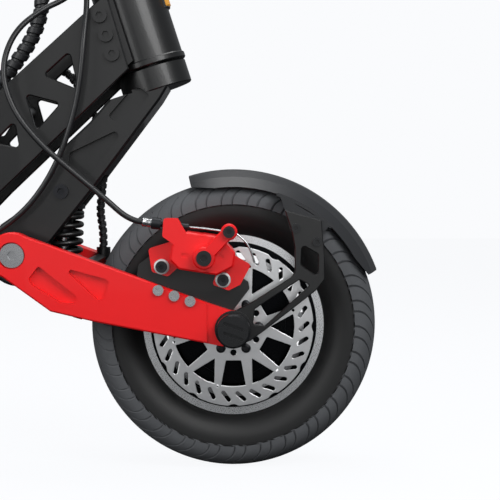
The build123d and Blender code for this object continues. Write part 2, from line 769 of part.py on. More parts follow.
def kickstand():
    """Return the side stand, standing on the ground."""
    side = deck_width / 2
    hub = rod_y(stand_x, stand_z, 12, side + 4.3, side + 14.3)
    top = Vector(stand_x, side + 9.3, stand_z)
    foot = Vector(stand_x + 14, side + stand_foot_out, 8)
    along = foot - top
    leg = Plane(origin=top, z_dir=along) * Cylinder(6.5, along.length, align=CENTRE_MIN)
    pad = Pos(foot.X, foot.Y, 0) * Cylinder(13, 12, align=CENTRE_MIN)
    clear = rod_y(stand_x, stand_z, 12.5, side, side + 4.3) + rod_y(stand_x, stand_z, 12.5, side + 14.3, side + 30)
    bore = rod_y(stand_x, stand_z, stand_pin_radius, side, side + 20)
    return (leg - clear) + pad + hub - bore


# ---- rear block, about the rear wheel centre before mirroring ----
def rear_block():
    """Return the block behind the deck that carries the rear pivot and the rear shock."""
    back = deck_rear - rear_x
    face = outline([(-back, 27), (-back, 112), (-198, 140), (-168, 150), (-140, 150), (-134, 138), (-134, 106),
                    (-158, 98), (-170, 80), (-164, 63), (-190, 36)])
    face += Pos(pivot_x, pivot_z) * Circle(26)
    body = bevel_sides(slab(face, -leg_half_width, leg_half_width), 1.5)
    body += rod_y(pivot_x, pivot_z, 13.5, -barrel_half_width, barrel_half_width)
    body -= block(pivot_x + 14, -60, -leg_slot_half_width, leg_slot_half_width, 30, shock_top[1] + 15)
    body -= rod_y(pivot_x, pivot_z, pivot_pin_radius, -barrel_half_width, barrel_half_width)
    body -= block(-260, -back, -60, 60, 0, 160)
    return body - rod_y(*shock_top, shock_pin_radius, -leg_half_width, leg_half_width)


def kick_plate():
    """Return the rear foot rest above the rear block."""
    face = outline([(-200, 139.5), (-168, 150), (-124, 150), (-116, 156), (-168, 156), (-204, 143)])
    plate = slab(face, -62, 62)
    ribs = slab(outline([(-160, 156), (-128, 156), (-128, 158.5), (-160, 158.5)]), -52, 52)
    return plate + ribs


def tail_light():
    """Return the lamp under the trailing edge of the kick plate."""
    return [block(-132, -124, -34, 34, 137, 150), block(-124, -119, -32, 32, 138.5, 148.5)]


# ---- folding hinge, stem and controls, about the front wheel centre ----
def steer_block(p0, p1, y0, y1, s0, s1):
    """Return a box given forward of, across and along the steering axis."""
    centre = Pos((p0 + p1) / 2, (y0 + y1) / 2, (s0 + s1) / 2)
    return steer_plane(0) * centre * Box(p1 - p0, y1 - y0, s1 - s0)


def cross_rod(forward, height, radius, y_low, y_high):
    """Return a cylinder along Y given forward of and along the steering axis."""
    x, z = steer_point(forward, height)
    return rod_y(x, z, radius, y_low, y_high)


def hinge_base():
    """Return the hinge base on top of the steerer, with its lugs and the cable clip."""
    base = steer_tube(28, 0, 112, hinge_height - 1.5)
    base += steer_block(-fold_pin_back - 8, 24, -24, 24, 112, hinge_height - 1.5)
    for low, high in ((-24, -14.3), (14.3, 24)):
        base += cross_rod(-fold_pin_back, hinge_height, 10, low, high)
    base -= cross_rod(-fold_pin_back, hinge_height, 10.6, -14.3, 14.3)
    base -= cross_rod(-fold_pin_back, hinge_height, fold_pin_radius, -24, 24)
    clip = steer_block(-74, -fold_pin_back - 8, -4, 4, 112, 117)
    ring_plane = steer_plane(111) * Pos(-72, 0, 0)
    ring = ring_plane * Cylinder(12.0, 8, align=CENTRE_MIN)
    base += clip + ring
    base += steer_block(-33, -24, -46, -24, 111.5, 115.5)
    for y in (-32, -42):
        base += steer_plane(112) * Pos(-29, y, 0) * Cylinder(6, 8, align=CENTRE_MIN)
        base -= steer_plane(110) * Pos(-29, y, 0) * Cylinder(2.7, 12, align=CENTRE_MIN)
    return base - ring_plane * Pos(0, 0, -1) * Cylinder(8.2, 12, align=CENTRE_MIN)


def fold_pin():
    """Return the fold pin with its two heads."""
    pin = cross_rod(-fold_pin_back, hinge_height, fold_pin_radius - running_fit, -24, 24)
    heads = [cross_rod(-fold_pin_back, hinge_height, 8, low, high) for low, high in ((-27, -24), (24, 27))]
    return pin + heads[0] + heads[1]


def stem_tube():
    """Return the stem: its foot with the hinge tongue, the tube and the bar clamp."""
    top = hinge_height + stem_length
    foot = steer_block(-26.5, 26, -24, 24, hinge_height - 0.5, hinge_height + 28)
    tongue = steer_block(-fold_pin_back, -26.5, -13.7, 13.7, hinge_height, hinge_height + 22)
    tongue += cross_rod(-fold_pin_back, hinge_height, 9.5, -13.7, 13.7)
    tube = steer_tube(stem_radius, 0, hinge_height + 28, top - 14)
    collar = steer_tube(stem_radius + 4, 0, hinge_height + 28, hinge_height + 46)
    clamp = cross_rod(0, top, bar_radius + 9, -30, 30) + steer_tube(stem_radius, 0, top - 14, top)
    body = foot + tongue + tube + collar + clamp
    body -= cross_rod(0, top, bar_radius, -30, 30)
    body -= cross_rod(-fold_pin_back, hinge_height, fold_pin_radius, -14, 14)
    return body - cross_rod(10, lever_height, fold_pin_radius, -24, 0)


def fold_lever():
    """Return the cam lever on the right side of the stem foot."""
    hub = cross_rod(10, lever_height, 9, -33, -24.3)
    hub += cross_rod(10, lever_height, fold_pin_radius - running_fit, -24.3, -4)
    handle = steer_block(4, 16, -33, -26.5, lever_height, lever_height + 74)
    handle -= steer_block(7.5, 12.5, -33, -31, lever_height + 16, lever_height + 66)
    return hub + handle


def bar_top():
    """Return the height of the handlebar centre along the steering axis."""
    return hinge_height + stem_length


def handlebar():
    """Return the handlebar tube, open at both ends."""
    half = bar_length / 2
    bar = cross_rod(0, bar_top(), bar_radius, -half, half)
    for low, high in ((-half, -half + 60), (half - 60, half)):
        bar -= cross_rod(0, bar_top(), bar_bore, low, high)
    return bar


def grip(side):
    """Return one grip: a sleeve with raised ends."""
    outer = side * (bar_length / 2)
    inner = side * (bar_length / 2 - grip_length)
    low, high = sorted((outer, inner))
    sleeve = cross_rod(0, bar_top(), grip_radius, low, high)
    for y in (low, high - 5):
        sleeve += cross_rod(0, bar_top(), grip_radius + 3, y, y + 5)
    return sleeve - cross_rod(0, bar_top(), bar_radius, low, high)


def lever_clamp(side):
    """Return one brake lever clamp with its pivot fork and cable barrel."""
    top = bar_top()
    out = lever_pivot_out
    low, high = sorted((side * (out - 9), side * (out + 9)))
    body = cross_rod(0, top, bar_radius + 6, low, high)
    body += steer_block(10, lever_pivot_forward + 8, low, high, top - 10, top + 10)
    body -= steer_block(lever_pivot_forward - 11, lever_pivot_forward + 9, low - 1, high + 1, top - 5.3, top + 5.3)
    body -= cross_rod(0, top, bar_radius, low, high)
    pin = steer_plane(top - 10) * Pos(lever_pivot_forward, side * out, 0)
    body += pin * Cylinder(lever_pin_radius - running_fit, 20, align=CENTRE_MIN)
    return body


def cable_barrel(side):
    """Return the barrel through which a brake cable enters its lever clamp."""
    low, high = sorted((side * (lever_pivot_out - 9), side * (lever_pivot_out - 23)))
    return cross_rod(16, bar_top(), 4.5, low, high)


def brake_lever(side):
    """Return one brake lever: pivot eye, blade and ball end."""
    top = bar_top()
    out = lever_pivot_out
    forward = lever_pivot_forward
    face = Pos(forward, side * out) * Circle(8)
    path = [(forward, side * out), (lever_reach + 1, side * (out + 22)), (lever_reach - 2, side * (out + 112))]
    face += trace(Polyline(*path), 9)
    face += Pos(*path[-1]) * Circle(6)
    blade = steer_plane(top - 5) * extrude(face, amount=10, dir=(0, 0, 1))
    return blade - steer_plane(top - 6) * Pos(forward, side * out, 0) * Cylinder(
        lever_pin_radius, 12, align=CENTRE_MIN)


def throttle_housing():
    """Return the fixed part of the thumb throttle."""
    body = cross_rod(0, bar_top(), 20, -172, -160)
    return body - cross_rod(0, bar_top(), bar_radius, -172, -160)


def throttle_lever():
    """Return the thumb paddle on its ring round the bar."""
    top = bar_top()
    ring = cross_rod(0, top, 17, -182, -172.3)
    angle = math.radians(215)
    tip = steer_point(38 * math.cos(angle), top + 38 * math.sin(angle))
    root = steer_point(12 * math.cos(angle), top + 12 * math.sin(angle))
    paddle = slab(trace(Polyline(root, tip), 8) + Pos(*tip) * Circle(7), -182, -172.3)
    pad = slab(Pos(*tip) * Circle(7), -194, -182)
    return ring + paddle + pad - cross_rod(0, top, bar_radius + running_fit, -182, -172.3)


def control_pod():
    """Return the switch pod on the left of the bar, hollow under its button."""
    top = bar_top()
    low, high = pod_centre - pod_half, pod_centre + pod_half
    pod = steer_block(-18, 18, low, high, top - 12, top + 24)
    pod -= cross_rod(0, top, bar_radius, low, high)
    well = steer_plane(top + 16) * Pos(0, pod_centre, 0)
    return pod - well * Cylinder(button_radius + 0.4, 10, align=CENTRE_MIN)


def horn_button():
    """Return the round push button of the switch pod."""
    low = bar_top() + 16 + button_travel + 0.5
    return steer_plane(low) * Pos(0, pod_centre, 0) * Cylinder(button_radius, 9, align=CENTRE_MIN)


def display():
    """Return the round display on the bar clamp: housing and glass."""
    base = bar_top() + bar_radius + 9
    housing = steer_tube(9, 0, base - 3, base + 2) - cross_rod(0, bar_top(), bar_radius + 9, -31, 31)
    housing += steer_tube(30, 0, base + 2, base + 14)
    glass = steer_tube(25, 0, base + 14, base + 15.5)
    return [housing, glass]


def headlight():
    """Return the stem headlight: housing, bezel and lens."""
    height = bar_top() - 110
    axis = Plane(origin=steer_plane(height).origin, z_dir=steer_plane(0).x_dir)
    cut = steer_tube(stem_radius, 0, height - 40, height + 40)
    housing = axis * Cylinder(24, 58, align=CENTRE_MIN) - cut
    housing -= axis * Pos(0, 0, -1) * Cylinder(40, 15, align=CENTRE_MIN)
    housing = housing.solids().sort_by(Axis.X)[-1]
    lens = axis * Pos(0, 0, 58) * Cylinder(21, 3, align=CENTRE_MIN)
    return [housing, lens]


# ---- cables, about a wheel centre; the points of each route are chosen by hand ----
def cord(points, radius):
    """Sweep a round cable along straight runs joined by arcs as large as the runs allow."""
    spots = [Vector(*point) for point in points]
    radii = []
    for before, corner, after in zip(spots, spots[1:], spots[2:]):
        run = min((corner - before).length, (after - corner).length)
        turn = math.radians((corner - before).get_angle(after - corner))
        radii.append(0.45 * run / math.tan(turn / 2))
    path = FilletPolyline(*spots, radius=radii)
    section = Plane(origin=spots[0], z_dir=spots[1] - spots[0]) * Circle(radius)
    tube = sweep(section, path=path)
    print("cable radii", [round(r) for r in radii], "length", round(path.length))
    return tube


def stem_route(points):
    """Turn forward, across, along points of the steering axis into x, y, z points."""
    route = []
    for forward, across, height in points:
        x, z = steer_point(forward, height)
        route.append((x, across, z))
    return route


def cable_entry(distance):
    """Return a point on the line of the barrel adjuster, beyond the end of its ferrule."""
    pull = Vector(62.5, 0, -7).normalized()
    spot = Vector(-53, -caliper_face + 5.5, 89.5) - pull * (24.5 + distance)
    return (spot.X, spot.Y, spot.Z)


def front_brake_cable():
    """Return the front brake cable from the hinge clip down to the caliper."""
    route = [cable_entry(0), cable_entry(11), (-110, -77.5, 113), (-138, -76, 136),
             (-165, -75, 159), (-188, -73, 188), (-198, -69, 222), (-188, -63, 254), (-166, -54, 274),
             (-144, -46, 285)]
    route += stem_route([(-29, -42, 98), (-29, -42, 112)])
    return cord(route, cable_radius)


def rear_brake_cable():
    """Return the rear brake cable from the hinge clip down to the deck."""
    route = stem_route([(-29, -32, 112), (-29, -32, 100)])
    route += [(-127, -42, 280), (-129, -52, 254), (-131, -55, 224), (-136, -55.5, 190), (-150, -55.5, 146),
              (-173, -56, 108), (-202, -55.5, 84), (-232, -54, 68), (-262, -51, 60), (-280, -50, 58),
              (neck_end, -50, 58)]
    return cord(route, cable_radius)


def rear_tail_cable():
    """Return the rear brake cable from the deck to the rear caliper, before mirroring."""
    back = deck_rear - rear_x
    route = [(-back, -84, 66), (-202, -84, 66), (-172, -83, 80), (-142, -81, 96), (-112, -79.5, 101),
             cable_entry(13), cable_entry(0)]
    return cord(route, cable_radius)


def harness():
    """Return the wrapped wiring harness from the neck up to the hinge clip."""
    route = [(neck_end, 0, 112), (-276, 0, 112), (-256, 0, 138), (-238, 0, 172), (-217, 0, 208),
             (-193, 0, 236), (-177, 0, 262)]
    route += stem_route([(-72, 0, 100), (-72, 0, 115)])
    return cord(route, harness_radius)


def motor_cable():
    """Return the front motor cable from its plug on the neck to the arm brace."""
    route = [(-168, 44, 231), (-156, 44, 231), (-143, 44, 214), (-130, 43, 192), (-122, 42, 168),
             (-120, 42, 142), (-123, 43, 118), (-125, 45, 98), (-122, 46, 82), (-122, 46, 66)]
    return cord(route, motor_cable_radius)


def motor_cable_fittings():
    """Return the gland of the motor cable on the brace."""
    gland = Pos(-122, 46, 54) * Cylinder(6.5, 12, align=CENTRE_MIN)
    return gland - arm_brace()


def upper_cables():
    """Return the two brake cables and the harness from the hinge clip to the bar and stem."""
    top = bar_top()
    right = [(-29, -32, 120), (-29, -32, 132), (-31, -29, 158), (-33, -22, 196), (-33, -12, 236), (-33, -7, 282),
             (-33, -7, 760), (-29, -16, 783), (-20, -32, 803), (-8, -53, 816), (6, -76, 824), (15, -98, 835),
             (16, -112, top), (16, -125, top)]
    left = [(-29, -42, 120), (-29, -42, 133), (-32, -37, 160), (-34, -26, 200), (-34, -10, 242), (-33, 4, 290),
            (-33, 7, 340), (-33, 7.5, 750), (-30, 14, 778), (-22, 30, 800), (-8, 50, 812), (8, 68, 818),
            (23, 86, 828), (24, 100, 838), (16, 113, top), (16, 125, top)]
    wires = [(-72, 0, 115), (-72, 0, 130), (-66, 0, 152), (-52, 0, 174), (-36, 0, 188), (-stem_radius, 0, 188)]
    shapes = [cord(stem_route(route), cable_radius) for route in (right, left)]
    return shapes + [cord(stem_route(wires), harness_radius)]


# ---- placing ----
def front(shape):
    """Place a shape drawn about the front wheel centre."""
    return Pos(front_x, 0, tyre_radius) * shape


def rear(shape):
    """Mirror a shape front to back and place it about the rear wheel centre."""
    return Pos(rear_x, 0, tyre_radius) * mirror(shape, Plane.YZ)


def wheel_nodes(end, place):
    """Record the tyre, rim and disc of one wheel."""
    keep(end + "_tyre", place(tyre()))
    keep(end + "_rim", place(rim()))
    keep(end + "_brake_disc", place(brake_disc()), *[place(bolt) for bolt in disc_bolt_set()])


def brake_nodes(end, place):
    """Record the caliper, its small fittings and its actuating arm."""
    keep(end + "_caliper", place(caliper() - caliper_bracket()))
    fittings = pads() + caliper_bolts() + barrel_adjuster()
    keep(end + "_caliper_fittings", *[place(piece) for piece in fittings])
    keep(end + "_caliper_arm", *[place(piece) for piece in caliper_arm()])


def arm_fasteners():
    """Return every fastener of a swing arm set."""
    pieces = [axle()] + pivot_pin() + shock_lower_pin()
    for side in (-1, 1):
        pieces += axle_cap(side) + arm_bolts(side) + guard_screws(side)
    return pieces


def shock_nodes(end, place):
    """Record the three pieces of one shock."""
    keep(end + "_shock_body", place(shock_body()))
    keep(end + "_shock_rod", place(shock_rod()))
    keep(end + "_shock_spring", place(shock_spring()))


def front_nodes():
    """Record the front swing arm set and the steering parts."""
    wheel_nodes("front", front)
    keep("front_arm_right", front(arm(-1, True)))
    keep("front_arm_left", front(arm(1, True)))
    keep("front_arm_brace", front(arm_brace()), front(caliper_bracket()), front(motor_cable_fittings()))
    keep("front_axle", *[front(piece) for piece in arm_fasteners()])
    brake_nodes("front", front)
    keep("front_mudguard", front(guard_shell()))
    keep("front_mudguard_brackets", front(guard_bracket(-1)), front(guard_bracket(1)))
    shock_nodes("front", front)
    keep("fork_leg", front(fork_leg()))
    keep("fork_pins", front(shock_upper_pin(leg_half_width, leg_slot_half_width)), front(fold_pin()))
    keep("steerer_tube", front(steerer()))
    keep("hinge_base", front(hinge_base()))


def rear_nodes():
    """Record the rear swing arm set and the rear block."""
    wheel_nodes("rear", rear)
    keep("rear_arms", rear(arm(-1, True)), rear(arm(1, True)))
    keep("rear_arm_brace", rear(arm_brace()), rear(caliper_bracket()))
    keep("rear_axle", *[rear(piece) for piece in arm_fasteners()])
    brake_nodes("rear", rear)
    keep("rear_mudguard", rear(guard_shell()), rear(guard_bracket(-1)), rear(guard_bracket(1)))
    shock_nodes("rear", rear)
    block_shape = rear_block()
    keep("rear_block", rear(block_shape), rear(shock_upper_pin(leg_half_width, leg_slot_half_width)))
    keep("kick_plate", rear(kick_plate() - block_shape), *[rear(piece) for piece in tail_light()])


def deck_nodes():
    """Record the deck, the neck and the stand."""
    top = deck_bottom + deck_height
    keep("deck_tray", deck_tray(), stand_mount())
    keep("deck_lid", deck_layer(0, top, top + lid_thickness), *lid_bolts())
    keep("deck_mat", deck_layer(mat_inset, top + lid_thickness, top + lid_thickness + mat_thickness))
    keep("battery_pack", battery(), *controllers())
    keep("neck_plate_right", front(neck_plate(-1)))
    keep("neck_plate_left", front(neck_plate(1)))
    fittings = neck_bolts(-1) + neck_bolts(1) + neck_spacer() + [block(-186, -168, 38, 50, 222, 240)]
    keep("neck_fittings", *neck_flange_plate(), *[front(piece) for piece in fittings])
    keep("head_tube", front(head_tube()), *[front(ring) for ring in headset_bearings()], front(badge()))
    keep("kickstand", kickstand())


def stem_nodes():
    """Record the stem, the bar and the controls."""
    keep("stem_tube", front(stem_tube()))
    keep("handlebar", front(handlebar()))
    keep("grips", front(grip(-1)), front(grip(1)))
    clamps = [lever_clamp(-1), lever_clamp(1), cable_barrel(-1), cable_barrel(1), throttle_housing(), control_pod()]
    keep("control_clamps", *[front(piece) for piece in clamps])
    keep("display", *[front(piece) for piece in display()])
    keep("headlight", *[front(piece) for piece in headlight()])
    keep("fold_lever", front(fold_lever()))
    keep("brake_lever_right", front(brake_lever(-1)))
    keep("brake_lever_left", front(brake_lever(1)))
    keep("throttle_lever", front(throttle_lever()))
    keep("horn_button", front(horn_button()))


def cable_nodes():
    """Record the cables."""
    keep("front_brake_cable", front(front_brake_cable()))
    keep("rear_brake_cable", front(rear_brake_cable()))
    keep("rear_tail_cable", rear(rear_tail_cable()))
    keep("wiring_harness", front(harness()))
    keep("motor_cable", front(motor_cable()))
    keep("upper_cables", *[front(shape) for shape in upper_cables()])


front_nodes()
rear_nodes()
deck_nodes()
stem_nodes()
cable_nodes()

os.makedirs("parts", exist_ok=True)
for name, shapes in nodes.items():
    solids = [solid for shape in shapes for solid in shape.solids()]
    export_step(Compound(children=solids), os.path.join("parts", name + ".step"))
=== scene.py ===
"""Looks of a folding electric kick scooter, built round its fixed CAD frame.

Sizes inside the classes are in millimetres. Places are counted from the frame's wheel centres,
and every object is built in metres.
"""

import logging
import math
from dataclasses import dataclass
from enum import Enum
from typing import Iterable, Sequence

import bmesh
import bpy
from mathutils import Matrix, Vector


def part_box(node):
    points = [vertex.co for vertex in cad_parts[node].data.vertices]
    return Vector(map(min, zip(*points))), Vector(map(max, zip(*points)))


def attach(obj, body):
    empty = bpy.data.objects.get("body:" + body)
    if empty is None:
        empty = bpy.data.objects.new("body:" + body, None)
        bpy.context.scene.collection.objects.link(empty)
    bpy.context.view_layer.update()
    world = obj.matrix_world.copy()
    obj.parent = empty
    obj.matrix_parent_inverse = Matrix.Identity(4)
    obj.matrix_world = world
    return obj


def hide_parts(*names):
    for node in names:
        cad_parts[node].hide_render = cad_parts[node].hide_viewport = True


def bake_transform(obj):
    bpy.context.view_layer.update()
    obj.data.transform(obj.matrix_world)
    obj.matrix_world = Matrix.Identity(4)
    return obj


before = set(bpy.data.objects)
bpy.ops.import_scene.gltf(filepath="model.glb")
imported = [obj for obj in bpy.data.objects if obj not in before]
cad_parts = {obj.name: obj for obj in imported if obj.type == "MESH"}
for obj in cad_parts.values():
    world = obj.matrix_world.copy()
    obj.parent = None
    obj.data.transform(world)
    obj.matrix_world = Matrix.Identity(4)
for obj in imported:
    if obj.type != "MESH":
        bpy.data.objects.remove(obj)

LOG = logging.getLogger("scooter")
MM = 0.001
RAKE = math.radians(18.0)
CROWN_OFFSET = Vector((-70.7 * MM, 0.0, 217.4 * MM))


class End(Enum):
    """The two ends of the scooter; the value is the sign of the end along X."""

    FRONT = 1
    REAR = -1

    @property
    def word(self) -> str:
        """Return the name that starts this end's node and body names."""
        return self.name.lower()

    def centre(self) -> Vector:
        """Return the wheel centre of this end."""
        low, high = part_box(self.word + "_tyre")
        return (Vector(low) + Vector(high)) / 2

    def place(self, x: float, y: float, z: float) -> Vector:
        """Return a point given in millimetres about the wheel, mirrored at the rear."""
        return self.centre() + Vector((self.value * x, y, z)) * MM


# ---- nodes and materials ----
def linear(code: str) -> tuple[float, float, float, float]:
    """Turn an sRGB hex colour into linear red, green, blue and alpha.

    Args:
        code: Six hex digits.

    Returns:
        The linear colour with an alpha of 1.
    """
    channels = [int(code[index:index + 2], 16) / 255 for index in (0, 2, 4)]
    values = [c / 12.92 if c <= 0.04045 else ((c + 0.055) / 1.055) ** 2.4 for c in channels]
    return (values[0], values[1], values[2], 1.0)


def add_node(tree: bpy.types.NodeTree, kind: str, inputs: dict | None = None,
             **settings: object) -> bpy.types.Node:
    """Add a node with its settings, socket values and incoming links.

    Args:
        tree: The material's node tree.
        kind: The node's type name.
        inputs: Socket name or number to a value, or to an output socket to link from.
        **settings: Properties of the node itself.

    Returns:
        The new node.
    """
    node = tree.nodes.new(kind)
    for name, value in settings.items():
        setattr(node, name, value)
    for key, value in (inputs or {}).items():
        if isinstance(value, bpy.types.NodeSocket):
            tree.links.new(value, node.inputs[key])
        else:
            node.inputs[key].default_value = value
    return node


def mix_colours(tree: bpy.types.NodeTree, factor: bpy.types.NodeSocket, first: object, second: object
                ) -> bpy.types.NodeSocket:
    """Blend two colours, each given as a linear colour or as a socket.

    Args:
        tree: The material's node tree.
        factor: 0 for the first colour, 1 for the second.
        first: The first colour.
        second: The second colour.

    Returns:
        The blended colour's socket.
    """
    mix = add_node(tree, "ShaderNodeMix", {"Factor": factor}, data_type="RGBA")
    sockets = [socket for socket in mix.inputs if socket.type == "RGBA"]
    for socket, colour in zip(sockets, (first, second)):
        if isinstance(colour, bpy.types.NodeSocket):
            tree.links.new(colour, socket)
        else:
            socket.default_value = colour
    return [out for out in mix.outputs if out.type == "RGBA"][0]


@dataclass(frozen=True)
class Finish:
    """A surface finish: base colour, shine, and a fine grain of real size.

    Fields:
        name: The maker's name for the finish.
        colour: sRGB hex of the surface.
        tint: sRGB hex that the surface drifts towards in patches.
        metallic, roughness: The shader's own values.
        grain: Size of the grain in millimetres.
        bump: Height of the grain in millimetres.
        patch: Size of the colour patches in millimetres.
        drift: How far the roughness wanders either way.
        stretch: Scale of the grain along X, Y and Z, for brushed marks.
        coat: Clear coat weight.
    """

    name: str
    colour: str
    tint: str
    metallic: float = 0.0
    roughness: float = 0.5
    grain: float = 1.0
    bump: float = 0.02
    patch: float = 40.0
    drift: float = 0.06
    stretch: tuple[float, float, float] = (1.0, 1.0, 1.0)
    coat: float = 0.0

    def grain_vector(self, tree: bpy.types.NodeTree) -> bpy.types.NodeSocket:
        """Return the coordinates of the grain, in metres on the object."""
        coords = add_node(tree, "ShaderNodeTexCoord")
        mapping = add_node(tree, "ShaderNodeMapping", {"Vector": coords.outputs["Object"],
                                                       "Scale": self.stretch})
        return mapping.outputs["Vector"]

    def shade(self, tree: bpy.types.NodeTree, vector: bpy.types.NodeSocket) -> bpy.types.NodeSocket:
        """Return the colour socket; a finish with a pattern of its own overrides this."""
        patches = add_node(tree, "ShaderNodeTexNoise", {"Vector": vector, "Scale": 1 / (self.patch * MM),
                                                        "Detail": 3.0})
        return mix_colours(tree, patches.outputs["Fac"], linear(self.colour), linear(self.tint))

    def build(self) -> bpy.types.Material:
        """Return the material, made once and then reused."""
        found = bpy.data.materials.get(self.name)
        if found:
            return found
        material = bpy.data.materials.new(self.name)
        material.use_nodes = True
        tree = material.node_tree
        tree.nodes.clear()
        vector = self.grain_vector(tree)
        grain = add_node(tree, "ShaderNodeTexNoise", {"Vector": vector, "Scale": 1 / (self.grain * MM),
                                                      "Detail": 4.0, "Roughness": 0.6})
        rough = add_node(tree, "ShaderNodeMapRange", {"Value": grain.outputs["Fac"],
                                                      "To Min": self.roughness - self.drift,
                                                      "To Max": self.roughness + self.drift})
        bump = add_node(tree, "ShaderNodeBump", {"Height": grain.outputs["Fac"], "Distance": self.bump * MM})
        shader = add_node(tree, "ShaderNodeBsdfPrincipled",
                          {"Base Color": self.shade(tree, vector), "Metallic": self.metallic,
                           "Roughness": rough.outputs["Result"], "Normal": bump.outputs["Normal"],
                           "Coat Weight": self.coat})
        add_node(tree, "ShaderNodeOutputMaterial", {"Surface": shader.outputs["BSDF"]})
        return material


@dataclass(frozen=True)
class HubFinish(Finish):
    """Machined rim metal with a black coated hub drum, and painted shade: black on the rim's inner well,
    where the gap between disc and rim lies in shadow.
    """

    centre: tuple[float, float, float] = (0.0, 0.0, 0.0)
    drum_radius: float = 56.5
    # Painted shade: the band round the well is coloured black to stand for the shadow in the gap between
    # disc and rim.
    shade_well_middle: float = 68.0
    shade_well_half: float = 5.6
    # Black of the drum's coat, used also for the painted shade in the well.
    drum_and_shade_colour: str = "141517"

    def shade(self, tree: bpy.types.NodeTree, vector: bpy.types.NodeSocket) -> bpy.types.NodeSocket:
        """Return silver metal with the drum in black, and painted shade in black on the well's inner face.
        """
        silver = super().shade(tree, vector)
        coords = add_node(tree, "ShaderNodeTexCoord")
        offset = add_node(tree, "ShaderNodeVectorMath", {0: coords.outputs["Object"], 1: self.centre},
                          operation="SUBTRACT")
        flat = add_node(tree, "ShaderNodeVectorMath", {0: offset.outputs["Vector"], 1: (1.0, 0.0, 1.0)},
                        operation="MULTIPLY")
        radius = add_node(tree, "ShaderNodeVectorMath", {0: flat.outputs["Vector"]}, operation="LENGTH")
        inside = add_node(tree, "ShaderNodeMath", {0: radius.outputs["Value"], 1: self.drum_radius * MM},
                          operation="LESS_THAN")
        # Painted shade in the well between disc and rim.
        well_shade = add_node(tree, "ShaderNodeMath", {0: radius.outputs["Value"], 1: self.shade_well_middle * MM,
                                                 2: self.shade_well_half * MM}, operation="COMPARE")
        black = add_node(tree, "ShaderNodeMath", {0: inside.outputs["Value"], 1: well_shade.outputs["Value"]},
                         operation="MAXIMUM")
        return mix_colours(tree, black.outputs["Value"], silver, linear(self.drum_and_shade_colour))


@dataclass(frozen=True)
class SplitFinish(Finish):
    """One finish up to a distance from the middle plane, and a darker one beyond it."""

    split: float = 72.7
    outer_colour: str = "1E1F21"
    outer_metallic: float = 0.3

    def outer_mask(self, tree: bpy.types.NodeTree) -> bpy.types.NodeSocket:
        """Return 1 where the surface lies outside the split distance."""
        coords = add_node(tree, "ShaderNodeTexCoord")
        parts = add_node(tree, "ShaderNodeSeparateXYZ", {"Vector": coords.outputs["Object"]})
        side = add_node(tree, "ShaderNodeMath", {0: parts.outputs["Y"]}, operation="ABSOLUTE")
        mask = add_node(tree, "ShaderNodeMath", {0: side.outputs["Value"], 1: self.split * MM},
                        operation="GREATER_THAN")
        return mask.outputs["Value"]

    def shade(self, tree: bpy.types.NodeTree, vector: bpy.types.NodeSocket) -> bpy.types.NodeSocket:
        """Return the inner colour up to the split and the outer colour beyond it."""
        inner = super().shade(tree, vector)
        return mix_colours(tree, self.outer_mask(tree), inner, linear(self.outer_colour))

    def build(self) -> bpy.types.Material:
        """Return the material, with the metal shine split in the same place."""
        material = super().build()
        tree = material.node_tree
        shader = [n for n in tree.nodes if n.type == "BSDF_PRINCIPLED"][0]
        span = add_node(tree, "ShaderNodeMapRange", {"Value": self.outer_mask(tree), "To Min": self.metallic,
                                                     "To Max": self.outer_metallic})
        tree.links.new(span.outputs["Result"], shader.inputs["Metallic"])
        return material


@dataclass(frozen=True)
class LampFinish(Finish):
    """Moulded lens plastic with a faint glow: light from behind on the lamps, painted light on the amber
    reflector.
    """

    glow: float = 0.3

    def build(self) -> bpy.types.Material:
        """Return the lens material with its glow set on the shader's own sockets."""
        material = super().build()
        shader = [n for n in material.node_tree.nodes if n.type == "BSDF_PRINCIPLED"][0]
        shader.inputs["Emission Color"].default_value = linear(self.colour)
        shader.inputs["Emission Strength"].default_value = self.glow
        return material


# Powder coat cures as a glossy film with a fine orange-peel ripple.
RED_COAT = Finish("red_powder_coat", "F2050D", "E8040B", roughness=0.4, grain=1.6, bump=0.03, coat=0.1)
# Satin black coat on forged and plate aluminium.
BLACK_COAT = Finish("black_satin_coat", "08090A", "0D0E0F", roughness=0.36, grain=0.9, bump=0.035, coat=0.15)
# Extruded tube under matt black anodising.
BLACK_TUBE = Finish("black_anodised_tube", "0A0B0C", "101112", metallic=0.4, roughness=0.42, grain=0.8,
                    bump=0.02)
# Ground stainless steel: fine straight scratches.
DISC_STEEL = Finish("ground_disc_steel", "EDEDEE", "DCDEDF", metallic=1.0, roughness=0.3, grain=0.7,
                    bump=0.02,
                    stretch=(1.0, 1.0, 5.0))
# Zinc plated fasteners.
PLATED_STEEL = Finish("zinc_plated_steel", "C6C7C8", "A9ABAE", metallic=1.0, roughness=0.26, grain=0.6,
                      bump=0.015)
# The same plating inside; the nut covers and guard screws outside it are black.
AXLE_METAL = SplitFinish("plated_axle_black_caps", "C6C7C8", "A9ABAE", metallic=1.0, roughness=0.28,
                         grain=0.6,
                         bump=0.015, split=72.7)
# Red coated lever with black screw heads on its face.
LEVER_RED = SplitFinish("red_lever_black_screws", "F2050D", "E8040B", roughness=0.4, grain=1.6, bump=0.03,
                        split=94.1)
# Black oxide on hardened steel.
OXIDE_STEEL = Finish("black_oxide_steel", "26272A", "2E3034", metallic=0.6, roughness=0.38, grain=0.7,
                     bump=0.02)
# Vulcanised rubber: a dry, dusty bloom on the tread and a smoother wall.
TREAD_RUBBER = Finish("tread_rubber", "56585B", "4A4C4F", roughness=0.78, grain=1.4, bump=0.09, patch=22.0)
WALL_RUBBER = Finish("sidewall_rubber", "08090A", "0C0D0E", roughness=0.55, grain=0.9, bump=0.04, patch=30.0)
